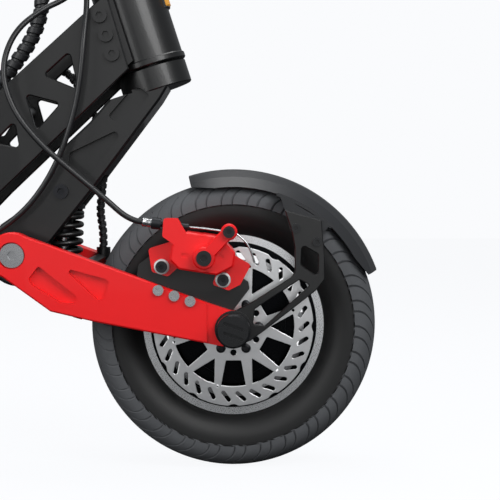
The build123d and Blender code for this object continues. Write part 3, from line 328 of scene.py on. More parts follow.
# Injection moulded guard with a spark-eroded matt grain.
GUARD_PLASTIC = Finish("moulded_guard_plastic", "1D1E21", "232528", roughness=0.46, grain=0.8, bump=0.05)
POD_PLASTIC = Finish("moulded_pod_plastic", "191A1C", "1F2022", roughness=0.5, grain=0.7, bump=0.04)
CABLE_SHEATH = Finish("extruded_cable_sheath", "151618", "1B1C1E", roughness=0.38, grain=0.8, bump=0.01)
WRAP_PLASTIC = Finish("spiral_wrap_plastic", "1A1B1D", "222326", roughness=0.4, grain=0.8, bump=0.02)
GRIP_RUBBER = Finish("moulded_grip_rubber", "1B1C1D", "212224", roughness=0.72, grain=0.6, bump=0.06)
# Silicon-carbide grit bonded to a rubber mat.
MAT_GRIT = Finish("gritted_rubber_mat", "2A2B2D", "1F2022", roughness=0.9, grain=1.1, bump=0.3, patch=60.0)
# Painted light: the amber reflector is no lamp, and its glow stands for light that it catches.
AMBER_REFLECTOR_PAINTED_GLOW = LampFinish("amber_reflector_painted_glow", "E9A52A", "D98F18", roughness=0.22, grain=2.5, bump=0.1,
                        glow=0.15)
LAMP_LENS = LampFinish("clear_lamp_lens", "E8ECEF", "DADFE4", roughness=0.12, grain=3.0, bump=0.08,
                       glow=0.25)
TAIL_LENS = LampFinish("red_lamp_lens", "B3121A", "8E0C14", roughness=0.16, grain=2.0, bump=0.08, glow=0.12)
SCREEN_GLASS = Finish("display_glass", "0B0C0E", "0E1013", roughness=0.08, grain=5.0, bump=0.002)
WASHER_WHITE = Finish("passivated_washer", "E4E5E5", "D2D3D4", metallic=0.3, roughness=0.35, grain=0.8,
                      bump=0.01)


class Rubber(Enum):
    """Which part of the tyre a face belongs to; the value is its material slot."""

    TREAD = 0
    WALL = 1


# ---- mesh helpers ----
def finish_piece(name: str, mesh_data: bmesh.types.BMesh, finishes: Sequence[Finish],
                 smooth: float | None = 35.0
                 ) -> bpy.types.Object:
    """Turn a bmesh into a finished object with its materials.

    Args:
        name: The piece's name.
        mesh_data: The bmesh, freed here.
        finishes: One finish for each material slot.
        smooth: Angle in degrees below which edges are shaded smooth, or None for flat faces.

    Returns:
        The new object, at the origin.
    """
    bmesh.ops.remove_doubles(mesh_data, verts=mesh_data.verts, dist=1e-6)
    bmesh.ops.recalc_face_normals(mesh_data, faces=mesh_data.faces)
    mesh = bpy.data.meshes.new(name)
    mesh_data.to_mesh(mesh)
    mesh_data.free()
    for finish in finishes:
        mesh.materials.append(finish.build())
    if smooth is not None:
        mesh.shade_smooth()
        mesh.set_sharp_from_angle(angle=math.radians(smooth))
    piece = bpy.data.objects.new(name, mesh)
    bpy.context.scene.collection.objects.link(piece)
    LOG.info("made %s with %d faces", name, len(mesh.polygons))
    return piece


def turn_about(shape: bmesh.types.BMesh, points: Iterable[Vector], base: Vector, axis: Vector, steps: int,
               closed: bool = True, angle: float = 2 * math.pi) -> None:
    """Add an outline to a bmesh and turn it about an axis.

    Args:
        shape: The bmesh to add to.
        points: The outline's points in metres.
        base: A point on the axis.
        axis: The axis.
        steps: Number of steps of the turn.
        closed: Whether the outline's last point joins its first.
        angle: Angle turned; a full turn is merged where it meets itself.
    """
    verts = [shape.verts.new(point) for point in points]
    pairs = list(zip(verts, verts[1:]))
    if closed:
        pairs.append((verts[-1], verts[0]))
    edges = [shape.edges.new(pair) for pair in pairs]
    bmesh.ops.spin(shape, geom=verts + edges, cent=base, axis=axis, angle=angle, steps=steps,
                   use_merge=angle >= 2 * math.pi)


def spin_profile(points: Iterable[tuple[float, float]], centre: Vector, steps: int) -> bmesh.types.BMesh:
    """Return a closed (radius, y) profile in metres, turned fully about the Y axis through a centre."""
    shape = bmesh.new()
    outline = [(centre.x + r, centre.y + y, centre.z) for r, y in points]
    turn_about(shape, outline, centre, Vector((0.0, -1.0, 0.0)), steps)
    return shape


def skin_rings(shape: bmesh.types.BMesh, rings: Sequence[Sequence[bmesh.types.BMVert]]) -> None:
    """Join rings of vertices with faces and close both ends."""
    count = len(rings[0])
    for low, high in zip(rings, rings[1:]):
        for corner in range(count):
            after = (corner + 1) % count
            shape.faces.new((low[corner], low[after], high[after], high[corner]))
    shape.faces.new(rings[0])
    shape.faces.new(list(reversed(rings[-1])))


def tube_along(name: str, points: Sequence[Vector], radius: float, finish: Finish, sides: int = 6
               ) -> bpy.types.Object:
    """Make a smooth round tube along a NURBS spline through control points.

    Args:
        name: The piece's name.
        points: The route's points in metres.
        radius: Tube radius in metres.
        finish: The tube's finish.
        sides: Bevel resolution.

    Returns:
        The tube as a mesh object with closed ends.
    """
    curve = bpy.data.curves.new(name + "_line", "CURVE")
    curve.dimensions = "3D"
    curve.bevel_depth = radius
    curve.bevel_resolution = sides
    curve.use_fill_caps = True
    curve.resolution_u = 8
    add_spline(curve, points)
    holder = bpy.data.objects.new(name + "_line", curve)
    mesh = bpy.data.meshes.new_from_object(holder)
    bpy.data.objects.remove(holder)
    bpy.data.curves.remove(curve)
    shape = bmesh.new()
    shape.from_mesh(mesh)
    bpy.data.meshes.remove(mesh)
    return finish_piece(name, shape, [finish], 50.0)


def add_spline(curve: bpy.types.Curve, points: Sequence[Vector]) -> None:
    """Add an open NURBS spline of order 3 through control points."""
    spline = curve.splines.new("NURBS")
    spline.points.add(len(points) - 1)
    for spot, point in zip(spline.points, points):
        spot.co = (point.x, point.y, point.z, 1.0)
    spline.use_endpoint_u = True
    spline.order_u = 3


def centre_line(points: Sequence[Vector]) -> list[Vector]:
    """Return points read from the route's NURBS spline."""
    curve = bpy.data.curves.new("centre_line", "CURVE")
    curve.dimensions = "3D"
    curve.resolution_u = 12
    add_spline(curve, points)
    holder = bpy.data.objects.new("centre_line", curve)
    mesh = bpy.data.meshes.new_from_object(holder)
    line = [vertex.co.copy() for vertex in mesh.vertices]
    bpy.data.objects.remove(holder)
    bpy.data.meshes.remove(mesh)
    bpy.data.curves.remove(curve)
    return line


def spiral_wrap(name: str, points: Sequence[Vector], radius: float, pitch: float, width: float,
                finish: Finish
                ) -> bpy.types.Object:
    """Wind a flat ribbon round a cable, as split spiral wrap does.

    Args:
        name: The piece's name.
        points: The cable's route.
        radius: Radius of the ribbon's middle in metres.
        pitch: Advance of one turn in metres.
        width: Width of the ribbon along the cable in metres.
        finish: The ribbon's finish.

    Returns:
        The ribbon as a closed mesh.
    """
    line = centre_line(points)
    lengths = [0.0]
    for before, after in zip(line, line[1:]):
        lengths.append(lengths[-1] + (after - before).length)
    per_turn = 14
    total = int(lengths[-1] / pitch * per_turn)
    shape = bmesh.new()
    rows = []
    side = Vector((0.0, 1.0, 0.0))
    index = 0
    for step in range(total + 1):
        along = min(step * pitch / per_turn, lengths[-1] - 1e-6)
        while lengths[index + 1] < along:
            index += 1
        part = (along - lengths[index]) / (lengths[index + 1] - lengths[index])
        spot = line[index].lerp(line[index + 1], part)
        tangent = (line[index + 1] - line[index]).normalized()
        across = (side - tangent * side.dot(tangent)).normalized()
        up = tangent.cross(across)
        angle = 2 * math.pi * step / per_turn
        outward = across * math.cos(angle) + up * math.sin(angle)
        row = []
        for rise, shift in ((-0.5, -0.5), (0.7, -0.35), (0.7, 0.35), (-0.5, 0.5)):
            row.append(shape.verts.new(spot + outward * (radius + rise * MM) + tangent * (shift * width)))
        rows.append(row)
    skin_rings(shape, rows)
    return finish_piece(name, shape, [finish], 40.0)


# ---- sub-assemblies ----
@dataclass
class Tyre:
    """One road tyre with its tread blocks; sizes in millimetres."""

    end: End
    groove: float = 2.2
    steps: int = 360
    pitch: int = 12
    half_width: float = 39.0
    lean: float = 17.0

    def profile(self) -> list[tuple[float, float]]:
        """Return the outer profile from the left tread edge to the right, down to the groove floor."""
        points = []
        rows = 22
        for row in range(rows + 1):
            angle = math.radians(-90 + 180 * row / rows)
            flat = 12.0 * math.copysign(min(1.0, abs(math.sin(angle)) * 2.2), math.sin(angle))
            y = flat + (self.half_width - 12.0) * math.sin(angle)
            r = 106.0 + (21.5 - self.groove) * math.cos(angle) ** 0.85
            points.append((r * MM, y * MM))
        return points

    def wall(self) -> list[tuple[float, float]]:
        """Return the closed carcass profile under the tread."""
        side = [(106.0, 39.0), (100.0, 39.2), (94.0, 38.0), (87.5, 33.8), (83.0, 29.4), (80.6, 27.2),
                (77.0, 25.6), (71.0, 24.0)]
        left = [(r * MM, y * MM) for r, y in side]
        right = [(r * MM, -y * MM) for r, y in reversed(side)]
        return self.profile() + left + right

    def tread_faces(self, shape: bmesh.types.BMesh, centre: Vector) -> list[bmesh.types.BMFace]:
        """Choose the faces that stand up between the ring grooves and the fine cross sipes."""
        chosen = []
        turn = 2 * math.pi / self.steps
        for face in shape.faces:
            spot = face.calc_center_median() - centre
            radius = math.hypot(spot.x, spot.z)
            if radius < 105.5 * MM:
                continue
            column = int((math.atan2(spot.z, spot.x) % (2 * math.pi)) / turn)
            across = abs(spot.y) / MM
            hand = self.pitch // 2 if spot.y > 0 else 0
            ring = 9.5 < across < 13.0
            sipe = (column + hand) % self.pitch == 0 and across > 13.0
            notch = (column + hand) % self.pitch == 4 and 4.0 < across < 9.5
            short = (column + hand) % self.pitch == 5 and across > 31.0
            if not (ring or sipe or notch or short):
                chosen.append(face)
        return chosen

    def slant(self, shape: bmesh.types.BMesh, centre: Vector) -> None:
        """Twist the tread round the axle towards its edges, so that the sipes run diagonally."""
        for vert in shape.verts:
            arm = vert.co - centre
            share = max(0.0, abs(arm.y) / MM - 9.5) / (self.half_width - 9.5)
            angle = math.radians(self.lean) * share ** 1.15
            vert.co = centre + Matrix.Rotation(-self.end.value * angle, 3, "Y") @ arm

    def build(self) -> None:
        """Make the tyre and let it stand for the plain CAD one."""
        word = self.end.word
        centre = self.end.centre()
        shape = spin_profile(self.wall(), centre, self.steps)
        bmesh.ops.remove_doubles(shape, verts=shape.verts, dist=1e-6)
        bmesh.ops.recalc_face_normals(shape, faces=shape.faces)
        for face in shape.faces:
            spot = face.calc_center_median() - centre
            tread = math.hypot(spot.x, spot.z) > 105.2 * MM
            face.material_index = Rubber.TREAD.value if tread else Rubber.WALL.value
        blocks = self.tread_faces(shape, centre)
        raised = bmesh.ops.extrude_face_region(shape, geom=blocks)
        bmesh.ops.delete(shape, geom=blocks, context="FACES")
        for vert in [item for item in raised["geom"] if isinstance(item, bmesh.types.BMVert)]:
            arm = vert.co - centre
            middle = Vector((arm.x, 0.0, arm.z)).normalized() * 92.0 * MM
            vert.co += (arm - middle).normalized() * self.groove * MM
        self.slant(shape, centre)
        piece = finish_piece(word + "_road_tyre", shape, [TREAD_RUBBER, WALL_RUBBER], 28.0)
        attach(piece, word + "_wheel")
        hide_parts(word + "_tyre")


@dataclass
class BrakeDisc:
    """One slotted brake disc with its star carrier; sizes in millimetres."""

    end: End
    radius: float = 69.8
    band_inner: float = 54.5
    plane: float = -45.0
    thickness: float = 1.9
    slots: int = 30
    arms: int = 6

    @staticmethod
    def polar(radius: float, degrees: float) -> Vector:
        """Return a flat point at a radius and an angle."""
        angle = math.radians(degrees)
        return Vector((radius * math.cos(angle), radius * math.sin(angle)))

    @staticmethod
    def rounded(corners: Sequence[Vector], radius: float) -> list[Vector]:
        """Return a closed outline with each corner cut by a small arc."""
        points = []
        count = len(corners)
        for index, corner in enumerate(corners):
            before = (corners[index - 1] - corner).normalized() * radius
            after = (corners[(index + 1) % count] - corner).normalized() * radius
            for step in range(6):
                part = step / 5
                points.append(corner + before * (1 - part) ** 2 + after * part ** 2)
        return points

    def outer(self) -> list[Vector]:
        """Return the outer edge with its shallow wiping notches."""
        points = []
        for step in range(360):
            dip = 1.6 * max(0.0, math.cos(math.radians(step * 12.0)) - 0.7) / 0.3
            points.append(self.polar(self.radius - dip, float(step)))
        return points

    def slot(self, index: int) -> list[Vector]:
        """Return one slanted slot of the braking band."""
        angle = index * 360.0 / self.slots
        middle = self.polar((self.band_inner + self.radius) / 2 - 0.3, angle)
        along = self.polar(1.0, angle + 42.0)
        across = self.polar(1.0, angle + 132.0)
        points = []
        for step in range(16):
            turn = 2 * math.pi * step / 16
            reach = math.copysign(3.9, math.cos(turn)) + 2.1 * math.cos(turn)
            points.append(middle + along * reach + across * (2.1 * math.sin(turn)))
        return points

    def windows(self) -> list[list[Vector]]:
        """Return the large windows between arm pairs and the small ones inside them."""
        loops = []
        inner = self.band_inner - 1.0
        for index in range(self.arms):
            base = -120.0 + index * 60.0
            arc = [self.polar(inner, base + 18.0 + step * 3.0) for step in range(9)]
            loops.append(self.rounded([self.polar(30.5, base + 17.0), *arc, self.polar(30.5,
                                                                                       base + 43.0)], 1.1))
            small = [self.polar(inner, base - 12.0 + step * 3.0) for step in range(9)]
            loops.append(self.rounded([self.polar(32.0, base), *small], 1.1))
        return loops

    def holes(self) -> list[list[Vector]]:
        """Return the hub bore and the round lightening holes at the arm tips."""
        loops = [[self.polar(14.8, float(step) * 10.0) for step in range(36)]]
        for index in range(self.arms):
            for radius, angle, size in ((self.band_inner - 0.4, -120.0 + index * 60.0 + 15.0, 1.5),
                                        (23.0, -90.0 + index * 60.0, 3.0)):
                middle = self.polar(radius, angle)
                loops.append([middle + self.polar(size, step * 30.0) for step in range(12)])
        return loops

    def build(self) -> None:
        """Cut the disc from plate and let it stand for the plainer frame disc."""
        curve = bpy.data.curves.new("disc_plate", "CURVE")
        curve.dimensions = "2D"
        curve.fill_mode = "BOTH"
        curve.extrude = (self.thickness / 2 - 0.25) * MM
        curve.bevel_depth = 0.25 * MM
        curve.bevel_resolution = 1
        loops = [self.outer(), *self.windows(), *self.holes(), *[self.slot(n) for n in range(self.slots)]]
        for loop in loops:
            spline = curve.splines.new("POLY")
            spline.points.add(len(loop) - 1)
            for spot, point in zip(spline.points, loop):
                spot.co = (self.end.value * point.x * MM, point.y * MM, 0.0, 1.0)
            spline.use_cyclic_u = True
        holder = bpy.data.objects.new("disc_plate", curve)
        mesh = bpy.data.meshes.new_from_object(holder)
        bpy.data.objects.remove(holder)
        bpy.data.curves.remove(curve)
        shape = bmesh.new()
        shape.from_mesh(mesh)
        bpy.data.meshes.remove(mesh)
        stand = Matrix.Translation(self.end.place(0.0, self.plane, 0.0)) @ Matrix.Rotation(math.pi / 2,
                                                                                           4, "X")
        bmesh.ops.transform(shape, matrix=stand, verts=shape.verts)
        piece = finish_piece(self.end.word + "_slotted_disc", shape, [DISC_STEEL], 12.0)
        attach(piece, self.end.word + "_wheel")
        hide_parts(self.end.word + "_brake_disc")
        self.bolts()

    def bolts(self) -> None:
        """Turn the six black button-head bolts of the disc, each with a round socket."""
        word = self.end.word
        shape = bmesh.new()
        face = self.plane - self.thickness / 2
        for index in range(self.arms):
            spot = self.polar(22.0, -120.0 + index * 60.0)
            base = self.end.place(spot.x, face, spot.y)
            profile = [(4.2, 0.1), (4.2, -1.0), (3.5, -2.2), (2.2, -2.8), (2.2, -1.2), (0.0, -1.2)]
            points = [base + Vector((r, y, 0.0)) * MM for r, y in profile]
            turn_about(shape, points, base, Vector((0.0, 1.0, 0.0)), 24, closed=False)
        piece = finish_piece(word + "_disc_bolts", shape, [OXIDE_STEEL], 35.0)
        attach(piece, word + "_wheel")


@dataclass
class Suspension:
    """The small details of one end: coil spring, brake wire, washers and ferrule."""

    end: End
    wire: float = 2.5
    coil_radius: float = 15.5
    turns: float = 5.5

    def spring_ends(self) -> tuple[Vector, Vector]:
        """Return the top and bottom of the coil on the shock's line."""
        top = self.end.place(-152.0, 0.0, 118.0)
        bottom = self.end.place(-155.0, 0.0, 38.0)
        along = (bottom - top).normalized()
        return top + along * 16.5 * MM, bottom - along * 16.5 * MM

    def spring(self) -> None:
        """Wind the coil spring with closed, ground ends."""
        top, bottom = self.spring_ends()
        along = (bottom - top).normalized()
        across = Vector((0.0, 1.0, 0.0))
        third = along.cross(across).normalized()
        height = (bottom - top).length
        steps_per_turn = 28
        closed_turns = 0.9
        count = int((self.turns + 2 * closed_turns) * steps_per_turn)
        shape = bmesh.new()
        rings = []
        for step in range(count + 1):
            turn = step / steps_per_turn
            part = min(max((turn - closed_turns) / self.turns, 0.0), 1.0)
            lift = self.wire * MM + (height - 2 * self.wire * MM) * part
            lift += (turn - closed_turns) * 0.4 * MM if part in (0.0, 1.0) else 0.0
            lift = min(max(lift, 1.2 * MM), height - 1.2 * MM)
            angle = 2 * math.pi * turn
            outward = across * math.cos(angle) + third * math.sin(angle)
            centre = top + along * lift + outward * self.coil_radius * MM
            ring = []
            for corner in range(10):
                lean = 2 * math.pi * corner / 10
                offset = outward * math.cos(lean) + along * math.sin(lean)
                ring.append(shape.verts.new(centre + offset * self.wire * MM))
            rings.append(ring)
        skin_rings(shape, rings)
        word = self.end.word
        piece = finish_piece(word + "_coil_spring", shape, [BLACK_COAT], 60.0)
        tuple(top)
        tuple(bottom)
        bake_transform(piece)
        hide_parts(word + "_shock_spring")

    def brake_wire(self) -> None:
        """Stretch the bright inner wire from the ferrule to the arm's clamp bolt."""
        word = self.end.word
        stop = self.end.place(-38.0, -78.5, 87.9)
        anchor = self.end.place(-9.0, -89.0, 84.6)
        middle = stop.lerp(anchor, 0.5) + Vector((0.0, 0.0, 0.0006))
        piece = tube_along(word + "_brake_wire", [stop, middle, anchor], 0.9 * MM, PLATED_STEEL, 3)
        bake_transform(piece)
        tail_points = [self.end.place(2.0, -90.0, 83.0), self.end.place(9.0, -90.5, 78.0),
                       self.end.place(15.0, -90.5, 69.0), self.end.place(18.0, -90.0, 58.0)]
        tail = tube_along(word + "_brake_wire_tail", tail_points, 0.9 * MM, PLATED_STEEL, 3)
        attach(tail, word + "_brake_arm")

    def turned(self, name: str, base: Vector, axis: Vector, profile: Sequence[tuple[float, float]],
               finish: Finish) -> None:
        """Turn a small ring or ferrule about its own axis and let it ride on the swing arm.

        Args:
            name: The piece's name after the end's word.
            base: The point that the profile starts from.
            axis: The line that it turns about.
            profile: Closed (radius, rise) points in millimetres.
            finish: Its finish.
        """
        axis = axis.normalized()
        across = axis.orthogonal().normalized()
        shape = bmesh.new()
        points = [base + across * r * MM + axis * rise * MM for r, rise in profile]
        turn_about(shape, points, base, axis, 40)
        piece = finish_piece(self.end.word + name, shape, [finish], 35.0)
        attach(piece, self.end.word + "_arm")

    def caliper_trim(self) -> None:
        """Add the pale washers under the caliper bolts and the bright cable ferrule."""
        washer = [(4.6, -0.1), (6.7, -0.1), (6.7, 1.3), (6.2, 1.6), (4.6, 1.6)]
        outward = Vector((0.0, -1.0, 0.0))
        for number, (x, z) in enumerate(((-61.5, 53.5), (-8.8, 42.1))):
            self.turned(f"_caliper_washer_{number + 1}", self.end.place(x, -67.0, z), outward, washer,
                        WASHER_WHITE)
        line = Vector((-62.5 * self.end.value, 0.0, 7.0))
        ferrule = [(2.7, 0.0), (3.9, 0.0), (3.9, 1.6), (3.7, 2.0), (3.7, 6.0), (3.9, 6.4), (3.9, 7.4),
                   (3.3, 8.1), (2.7, 8.1)]
        self.turned("_cable_ferrule", self.end.place(-69.4, -78.5, 91.35), line, ferrule, PLATED_STEEL)

    def build(self) -> None:
        """Make the moving details of this end."""
        self.spring()
        self.brake_wire()
        self.caliper_trim()


@dataclass
class Steering:
    """Places on the steering axis, and the cables that follow it; sizes in millimetres."""

    cable: float = 2.5
    harness: float = 5.6
    motor_cable: float = 3.0

    def axis(self, forward: float, across: float, height: float) -> Vector:
        """Return a point given forward of, across and along the steering axis."""
        crown = End.FRONT.centre() + CROWN_OFFSET
        ahead = Vector((math.cos(RAKE), 0.0, math.sin(RAKE)))
        up = Vector((-math.sin(RAKE), 0.0, math.cos(RAKE)))
        return crown + ahead * forward * MM + Vector((0.0, across * MM, 0.0)) + up * height * MM

    def front_route(self) -> list[Vector]:
        """Return the front brake cable's route from the caliper to the hinge clip."""
        place = End.FRONT.place
        points = [(-77.3, -78.5, 92.2), (-88.3, -78.5, 93.4), (-110, -77.5, 113), (-138, -76, 136),
                  (-165, -75, 159), (-188, -73, 188), (-198, -69, 222), (-188, -63, 254), (-166, -54, 274),
                  (-144, -46, 285)]
        return [place(*point) for point in points] + [self.axis(-29, -42, 98), self.axis(-29, -42, 112)]

    def rear_route(self) -> list[Vector]:
        """Return the rear brake cable's route from the hinge clip to the deck."""
        points = [(-127, -42, 280), (-129, -52, 254), (-131, -55, 224), (-136, -55.5, 190), (-150,
                                                                                             -55.5, 146),
                  (-173, -56, 108), (-202, -55.5, 84), (-232, -54, 68), (-262, -51, 60), (-280, -50, 58),
                  (-292, -50, 58)]
        return [self.axis(-29, -32, 112), self.axis(-29, -32, 100)] + [End.FRONT.place(*p) for p in points]

    def harness_route(self) -> list[Vector]:
        """Return the wiring harness's route from the neck to the hinge clip."""
        points = [(-292, 0, 112), (-276, 0, 112), (-256, 0, 138), (-238, 0, 172), (-217, 0, 208),
                  (-193, 0, 236), (-177, 0, 262)]
        return [End.FRONT.place(*point) for point in points] + [self.axis(-72, 0, 100), self.axis(-72,
                                                                                                  0, 115)]

    def motor_route(self) -> list[Vector]:
        """Return the motor cable's route from its plug to the brace."""
        points = [(-168, 44, 231), (-156, 44, 231), (-143, 44, 214), (-130, 43, 192), (-122, 42, 168),
                  (-120, 42, 142), (-123, 43, 118), (-125, 45, 98), (-122, 46, 82), (-122, 46, 66)]
        return [End.FRONT.place(*point) for point in points]

    def lower(self) -> None:
        """Make the cables below the hinge."""
        route = self.front_route()
        piece = tube_along("front_brake_hose", route, self.cable * MM, CABLE_SHEATH)
        tuple(route[1])
        tuple(route[6])
        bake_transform(piece)
        self.stand_for(piece, "front_brake_cable")
        route = self.rear_route()
        piece = tube_along("rear_brake_hose", route, self.cable * MM, CABLE_SHEATH)
        tuple(route[8])
        tuple(route[2])
        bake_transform(piece)
        self.stand_for(piece, "rear_brake_cable")
        route = self.harness_route()
        piece = tube_along("harness_core", route, self.harness * MM, CABLE_SHEATH)
        tuple(route[4])
        tuple(route[-2])
        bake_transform(piece)
        self.stand_for(piece, "wiring_harness")
        wrap = spiral_wrap("harness_wrap", route, (self.harness + 0.6) * MM, 9.0 * MM, 7.2 * MM,
                           WRAP_PLASTIC)
        tuple(route[4])
        tuple(route[-2])
        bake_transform(wrap)
        route = self.motor_route()
        piece = tube_along("motor_lead", route, self.motor_cable * MM, CABLE_SHEATH)
        tuple(route[-1])
        tuple(route[4])
        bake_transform(piece)
        self.stand_for(piece, "motor_cable")
        wrap = spiral_wrap("motor_lead_wrap", route, (self.motor_cable + 0.3) * MM, 6.0 * MM, 4.6 * MM,
                           WRAP_PLASTIC)
        tuple(route[-1])
        tuple(route[4])
        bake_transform(wrap)

    def rear_tail(self) -> None:
        """Make the rear brake cable behind the deck."""
        points = [(-216.5, -84, 66), (-202, -84, 66), (-172, -83, 80), (-142, -81, 96), (-112, -79.5, 101),
                  (-90.3, -78.5, 93.7), (-77.3, -78.5, 92.2)]
        route = [End.REAR.place(*point) for point in points]
        piece = tube_along("rear_tail_hose", route, self.cable * MM, CABLE_SHEATH)
        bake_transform(piece)
        self.stand_for(piece, "rear_tail_cable")

    def upper(self) -> None:
        """Make the cables from the hinge clip up the stem."""
        top = 845.0
        right = [(-29, -32, 120), (-29, -32, 132), (-31, -29, 158), (-33, -22, 196), (-33, -12, 236),
                 (-33, -7, 282), (-33, -7, 300), (-33, -7, 740), (-33, -7, 760), (-29, -16, 783),
                 (-20, -32, 803),
                 (-8, -53, 816), (6, -76, 824), (15, -98, 835), (16, -112, top), (16, -125, top)]
        left = [(-29, -42, 120), (-29, -42, 133), (-32, -37, 160), (-34, -26, 200), (-34, -10, 242),
                (-33, 4, 290), (-33, 7, 340), (-33, 7, 360), (-33, 7.5, 730), (-33, 7.5, 750), (-30, 14,
                                                                                                778),
                (-22, 30, 800), (-8, 50, 812), (8, 68, 818), (23, 86, 828), (24, 100, 838), (16, 113, top),
                (16, 125, top)]
        wires = [(-72, 0, 115), (-72, 0, 130), (-66, 0, 152), (-52, 0, 174), (-36, 0, 188), (-22, 0, 188)]
        for name, route, radius in (("upper_hose_right", right, self.cable), ("upper_hose_left", left,
                                                                              self.cable),
                                    ("upper_harness", wires, self.harness)):
            points = [self.axis(*point) for point in route]
            piece = tube_along(name, points, radius * MM, CABLE_SHEATH)
            end = points[4] if radius == self.cable else points[-1]
            tuple(points[0])
            tuple(end)
            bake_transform(piece)
            self.stand_for(piece, "upper_cables")

    @staticmethod
    def stand_for(piece: bpy.types.Object, node: str) -> None:
        """Let a cable stand for its plain frame solid."""
        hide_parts(node)

    def build(self) -> None:
        """Make every cable."""
        self.lower()
        self.rear_tail()
        self.upper()


@dataclass
class Controls:
    """Grips, lenses and trim on the stem and bar; sizes in millimetres."""

    steering: Steering
    bar_top: float = 845.0
    grip_inner: float = 185.0
    grip_outer: float = 310.0
    ribs: int = 17

    def grips(self) -> None:
        """Mould both grips with ribs round them and flanged ends."""
        for side, name in ((1, "grip_left_ribbed"), (-1, "grip_right_ribbed")):
            centre = self.steering.axis(0.0, 0.0, self.bar_top)
            length = self.grip_outer - self.grip_inner
            profile = [(11.2, 0.0), (18.2, 0.0), (19.0, 1.0), (19.0, 3.6), (17.6, 5.4)]
            span = (length - 14.0) / self.ribs
            for rib in range(self.ribs):
                low = 7.0 + rib * span
                profile += [(15.2, low), (16.3, low + span * 0.3), (16.3, low + span * 0.7), (15.2,
                                                                                              low + span)]
            profile += [(17.6, length - 5.4), (19.0, length - 3.6), (19.0, length - 1.2), (17.8, length),
                        (11.2, length)]
            points = [(r * MM, side * (self.grip_inner + y) * MM) for r, y in profile]
            shape = spin_profile(points, centre, 56)
            piece = finish_piece(name, shape, [GRIP_RUBBER], 40.0)
            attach(piece, "stem")
            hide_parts("grips")

    def disc_piece(self, name: str, body: str, base: Vector, axis: Vector,
                   profile: Sequence[tuple[float, float]], finish: Finish) -> None:
        """Turn a shallow lens or cap about any axis.

        Args:
            name: The piece's name.
            body: The body it rides on.
            base: The centre of its back face.
            axis: The direction that it faces.
            profile: (radius, rise) points in millimetres from the rim to the middle.
            finish: Its finish.
        """
        axis = axis.normalized()
        across = Vector((0.0, 1.0, 0.0))
        shape = bmesh.new()
        points = [base + across * r * MM + axis * rise * MM for r, rise in profile]
        turn_about(shape, points, base, axis, 48, closed=False)
        piece = finish_piece(name, shape, [finish], 30.0)
        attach(piece, body)

    def lenses(self) -> None:
        """Add the lamp lens, the reflector and the display glass."""
        up = Vector((-math.sin(RAKE), 0.0, math.cos(RAKE)))
        ahead = Vector((math.cos(RAKE), 0.0, math.sin(RAKE)))
        lamp = self.steering.axis(61.1, 0.0, self.bar_top - 110)
        self.disc_piece("headlamp_lens", "stem", lamp, ahead,
                        [(0.0, -0.4), (21.4, -0.4), (21.4, 0.6), (17.0, 2.2), (9.0, 3.2), (0.0, 3.5)],
                        LAMP_LENS)
        self.reflector()
        face = self.steering.axis(0.0, 0.0, self.bar_top + 35.6)
        self.disc_piece("display_screen", "stem", face, up,
                        [(0.0, -0.3), (24.6, -0.3), (24.6, 0.3), (23.4, 0.9), (0.0, 1.0)], SCREEN_GLASS)

    def reflector(self) -> None:
        """Curve a plain amber reflector round the front of the head tube."""
        crown = self.steering.axis(0.0, 0.0, 0.0)
        up = Vector((-math.sin(RAKE), 0.0, math.cos(RAKE)))
        shape = bmesh.new()
        half_angle = math.radians(23.0)
        start = Matrix.Rotation(-half_angle, 3, up) @ Vector((math.cos(RAKE), 0.0, math.sin(RAKE)))
        corners = [(33.6, 59.0), (34.6, 60.0), (34.6, 90.0), (33.6, 91.0), (32.0, 91.0), (32.0, 59.0)]
        points = [crown + start * r * MM + up * s * MM for r, s in corners]
        turn_about(shape, points, crown, up, 20, angle=2 * half_angle)
        rim = [edge for edge in shape.edges if edge.is_boundary]
        bmesh.ops.holes_fill(shape, edges=rim, sides=0)
        # The reflector's faint glow is painted light.
        piece = finish_piece("head_reflector", shape, [AMBER_REFLECTOR_PAINTED_GLOW], 30.0)
        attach(piece, "chassis")

    def build(self) -> None:
        """Make every control detail."""
        self.grips()
        self.lenses()


@dataclass
class Deck:
    """Trim of the deck: the gritted mat with its ribs and the tail lens."""

    ribs: int = 15

    def mat(self) -> None:
        """Mould the mat with raised cross ribs inside its frame solid's outline."""
        low, high = (Vector(corner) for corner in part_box("deck_mat"))
        size = high - low
        shape = bmesh.new()
        centre = (low + high) / 2
        base = Vector((centre.x, centre.y, low.z + 1.1 * MM))
        self.slab(shape, base, Vector((size.x, size.y, 2.2 * MM)), 6.0 * MM)
        spacing = size.x / (self.ribs + 1)
        for rib in range(self.ribs):
            spot = Vector((low.x + spacing * (rib + 1), centre.y, low.z + 2.9 * MM))
            self.slab(shape, spot, Vector((spacing * 0.72, size.y * 0.9, 1.8 * MM)), 3.0 * MM)
        piece = finish_piece("deck_grip_mat", shape, [MAT_GRIT], 30.0)
        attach(piece, "chassis")
        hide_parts("deck_mat")

    @staticmethod
    def slab(shape: bmesh.types.BMesh, centre: Vector, size: Vector, corner: float) -> None:
        """Add a block with rounded upright corners and a softened top edge."""
        made = bmesh.ops.create_cube(shape, size=1.0, matrix=Matrix.LocRotScale(centre, None, size))
        verts = made["verts"]
        upright = [edge for edge in {e for v in verts for e in v.link_edges}
                   if abs(edge.verts[0].co.z - edge.verts[1].co.z) > size.z * 0.5]
        bmesh.ops.bevel(shape, geom=upright, offset=corner, segments=4, profile=0.5, affect="EDGES",
                        material=-1)

    def tail_lens(self) -> None:
        """Mould the red lens over the tail lamp under the foot rest."""
        shape = bmesh.new()
        self.slab(shape, End.REAR.place(-121.4, 0.0, 143.5), Vector((5.6, 65.0, 10.8)) * MM, 1.2 * MM)
        piece = finish_piece("tail_lamp_lens", shape, [TAIL_LENS], 30.0)
        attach(piece, "chassis")

    def build(self) -> None:
        """Make the deck's trim."""
        self.mat()
        self.tail_lens()


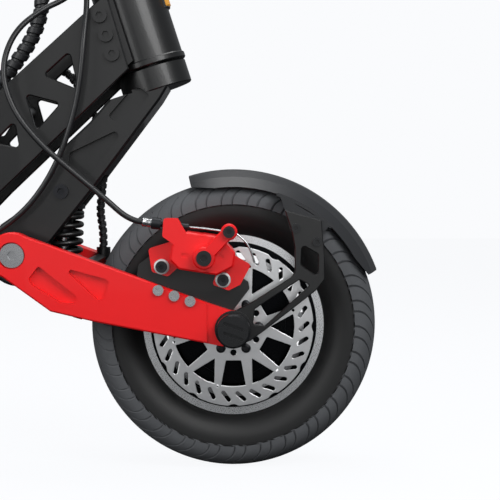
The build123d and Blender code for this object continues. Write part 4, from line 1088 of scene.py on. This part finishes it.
@dataclass
class FrameFinishes:
    """Which finish each carried-over frame node gets."""

    def table(self) -> dict[str, Finish]:
        """Return the finish of every frame node that stays visible."""
        finishes: dict[str, Finish] = {}
        groups: list[tuple[Finish, list[str]]] = [
            (RED_COAT, ["front_arm_right", "front_arm_left", "rear_arms", "front_caliper", "rear_caliper"]),
            (BLACK_COAT, ["front_arm_brace", "rear_arm_brace", "fork_leg", "hinge_base", "neck_plate_right",
                          "neck_plate_left", "neck_fittings", "head_tube", "deck_tray", "deck_lid",
                          "rear_block",
                          "kick_plate", "kickstand", "fold_lever", "front_mudguard_brackets",
                          "brake_lever_left", "brake_lever_right"]),
            (BLACK_TUBE, ["stem_tube", "handlebar"]),
            (PLATED_STEEL, ["steerer_tube", "front_shock_rod", "rear_shock_rod"]),
            (AXLE_METAL, ["front_axle", "rear_axle"]),
            (LEVER_RED, ["front_caliper_arm", "rear_caliper_arm"]),
            (OXIDE_STEEL, ["front_shock_body", "rear_shock_body", "front_caliper_fittings",
                           "rear_caliper_fittings", "fork_pins"]),
            (GUARD_PLASTIC, ["front_mudguard", "rear_mudguard"]),
            (POD_PLASTIC, ["battery_pack", "control_clamps", "display", "headlight", "throttle_lever",
                           "horn_button"]),
        ]
        for finish, names in groups:
            for name in names:
                finishes[name] = finish
        for end in End:
            centre = end.centre()
            finishes[end.word + "_rim"] = HubFinish(end.word + "_rim_alloy", "E8E9EA", "D8DADC",
                                                    metallic=1.0,
                                                    roughness=0.28, grain=0.9, bump=0.02,
                                                    centre=tuple(centre))
        return finishes

    def build(self) -> None:
        """Assign the finishes to the frame nodes' material slots."""
        for name, finish in self.table().items():
            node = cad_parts[name]
            material = finish.build()
            if not node.material_slots:
                node.data.materials.append(material)
            for slot in node.material_slots:
                slot.material = material
            LOG.info("dressed %s in %s", name, finish.name)


@dataclass
class Studio:
    """The pale floor, the soft lights and the camera; sizes in metres."""

    floor_size: float = 12.0
    camera_distance: float = 1.3
    lens: float = 103.5
    sensor: float = 36.0
    room_light: float = 0.32
    floor_glow: float = 0.965

    def floor(self) -> None:
        """Lay a matt white floor that takes only a soft shadow."""
        shape = bmesh.new()
        bmesh.ops.create_grid(shape, x_segments=1, y_segments=1, size=self.floor_size / 2)
        material = bpy.data.materials.new("white_studio_floor")
        material.use_nodes = True
        tree = material.node_tree
        tree.nodes.clear()
        path = add_node(tree, "ShaderNodeLightPath")
        matt = add_node(tree, "ShaderNodeBsdfDiffuse", {"Color": linear("424345")})
        shown = add_node(tree, "ShaderNodeMath", {0: path.outputs["Is Camera Ray"], 1: self.floor_glow},
                         operation="MULTIPLY")
        glow = add_node(tree, "ShaderNodeEmission", {"Color": linear("FAFBFD"),
                                                     "Strength": shown.outputs["Value"]})
        both = add_node(tree, "ShaderNodeAddShader", {0: matt.outputs["BSDF"], 1: glow.outputs["Emission"]})
        add_node(tree, "ShaderNodeOutputMaterial", {"Surface": both.outputs["Shader"]})
        mesh = bpy.data.meshes.new("studio_floor")
        shape.to_mesh(mesh)
        shape.free()
        mesh.materials.append(material)
        floor = bpy.data.objects.new("studio_floor", mesh)
        bpy.context.scene.collection.objects.link(floor)

    def world(self) -> None:
        """Fill the room with pale, even light."""
        world = bpy.data.worlds.new("pale_room")
        world.use_nodes = True
        tree = world.node_tree
        tree.nodes.clear()
        path = add_node(tree, "ShaderNodeLightPath")
        room = add_node(tree, "ShaderNodeBackground", {"Color": linear("E9ECF0"),
                                                       "Strength": self.room_light})
        wall = add_node(tree, "ShaderNodeBackground", {"Color": linear("FAFBFD"), "Strength": 1.0})
        mix = add_node(tree, "ShaderNodeMixShader", {0: path.outputs["Is Camera Ray"],
                                                     1: room.outputs["Background"],
                                                     2: wall.outputs["Background"]})
        add_node(tree, "ShaderNodeOutputWorld", {"Surface": mix.outputs["Shader"]})
        bpy.context.scene.world = world
        bpy.context.scene.view_settings.view_transform = "Standard"

    def lamp(self, name: str, spot: Vector, target: Vector, size: float, power: float) -> None:
        """Hang one soft box.

        Args:
            name: The lamp's name.
            spot: Its place.
            target: The point that it faces.
            size: Its side length.
            power: Its power in watts.
        """
        data = bpy.data.lights.new(name, "AREA")
        data.size = size
        data.energy = power
        lamp = bpy.data.objects.new(name, data)
        lamp.location = spot
        lamp.rotation_euler = (target - spot).to_track_quat("-Z", "Y").to_euler()
        bpy.context.scene.collection.objects.link(lamp)

    def lights(self) -> None:
        """Hang the key, fill and top lights round the front wheel."""
        target = End.FRONT.centre() + Vector((-0.05, 0.0, 0.05))
        self.lamp("key_box", target + Vector((0.9, -1.3, 1.1)), target, 1.0, 22.0)
        self.lamp("fill_box", target + Vector((-1.3, -1.2, 0.5)), target, 1.2, 14.0)
        self.lamp("top_box", target + Vector((-0.1, 0.3, 1.6)), target, 1.2, 16.0)
        self.lamp("camera_card", target + Vector((0.25, -2.1, 0.55)), target, 1.5, 6.0)

    def camera(self) -> None:
        """Set the camera square to the right side, close on the front end."""
        wheel = End.FRONT.centre()
        data = bpy.data.cameras.new("side_camera")
        data.lens = self.lens
        data.sensor_width = self.sensor
        camera = bpy.data.objects.new("side_camera", data)
        camera.location = wheel + Vector((5.8 * MM, -self.camera_distance, 119.3 * MM))
        aim = wheel + Vector((14.8 * MM, 0.0, 65.0 * MM))
        camera.rotation_euler = (aim - camera.location).to_track_quat("-Z", "Y").to_euler()
        bpy.context.scene.collection.objects.link(camera)
        bpy.context.scene.camera = camera

    def build(self) -> None:
        """Set up the whole studio."""
        self.camera()
        self.world()
        self.floor()
        self.lights()


def main() -> None:
    """Build the scooter's looks round the frame."""
    logging.basicConfig(level=logging.INFO, format="%(message)s")
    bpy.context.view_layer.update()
    Studio().build()
    FrameFinishes().build()
    for end in End:
        Tyre(end).build()
        BrakeDisc(end).build()
        Suspension(end).build()
    steering = Steering()
    steering.build()
    Controls(steering).build()
    Deck().build()


if __name__ == "__main__":
    main()
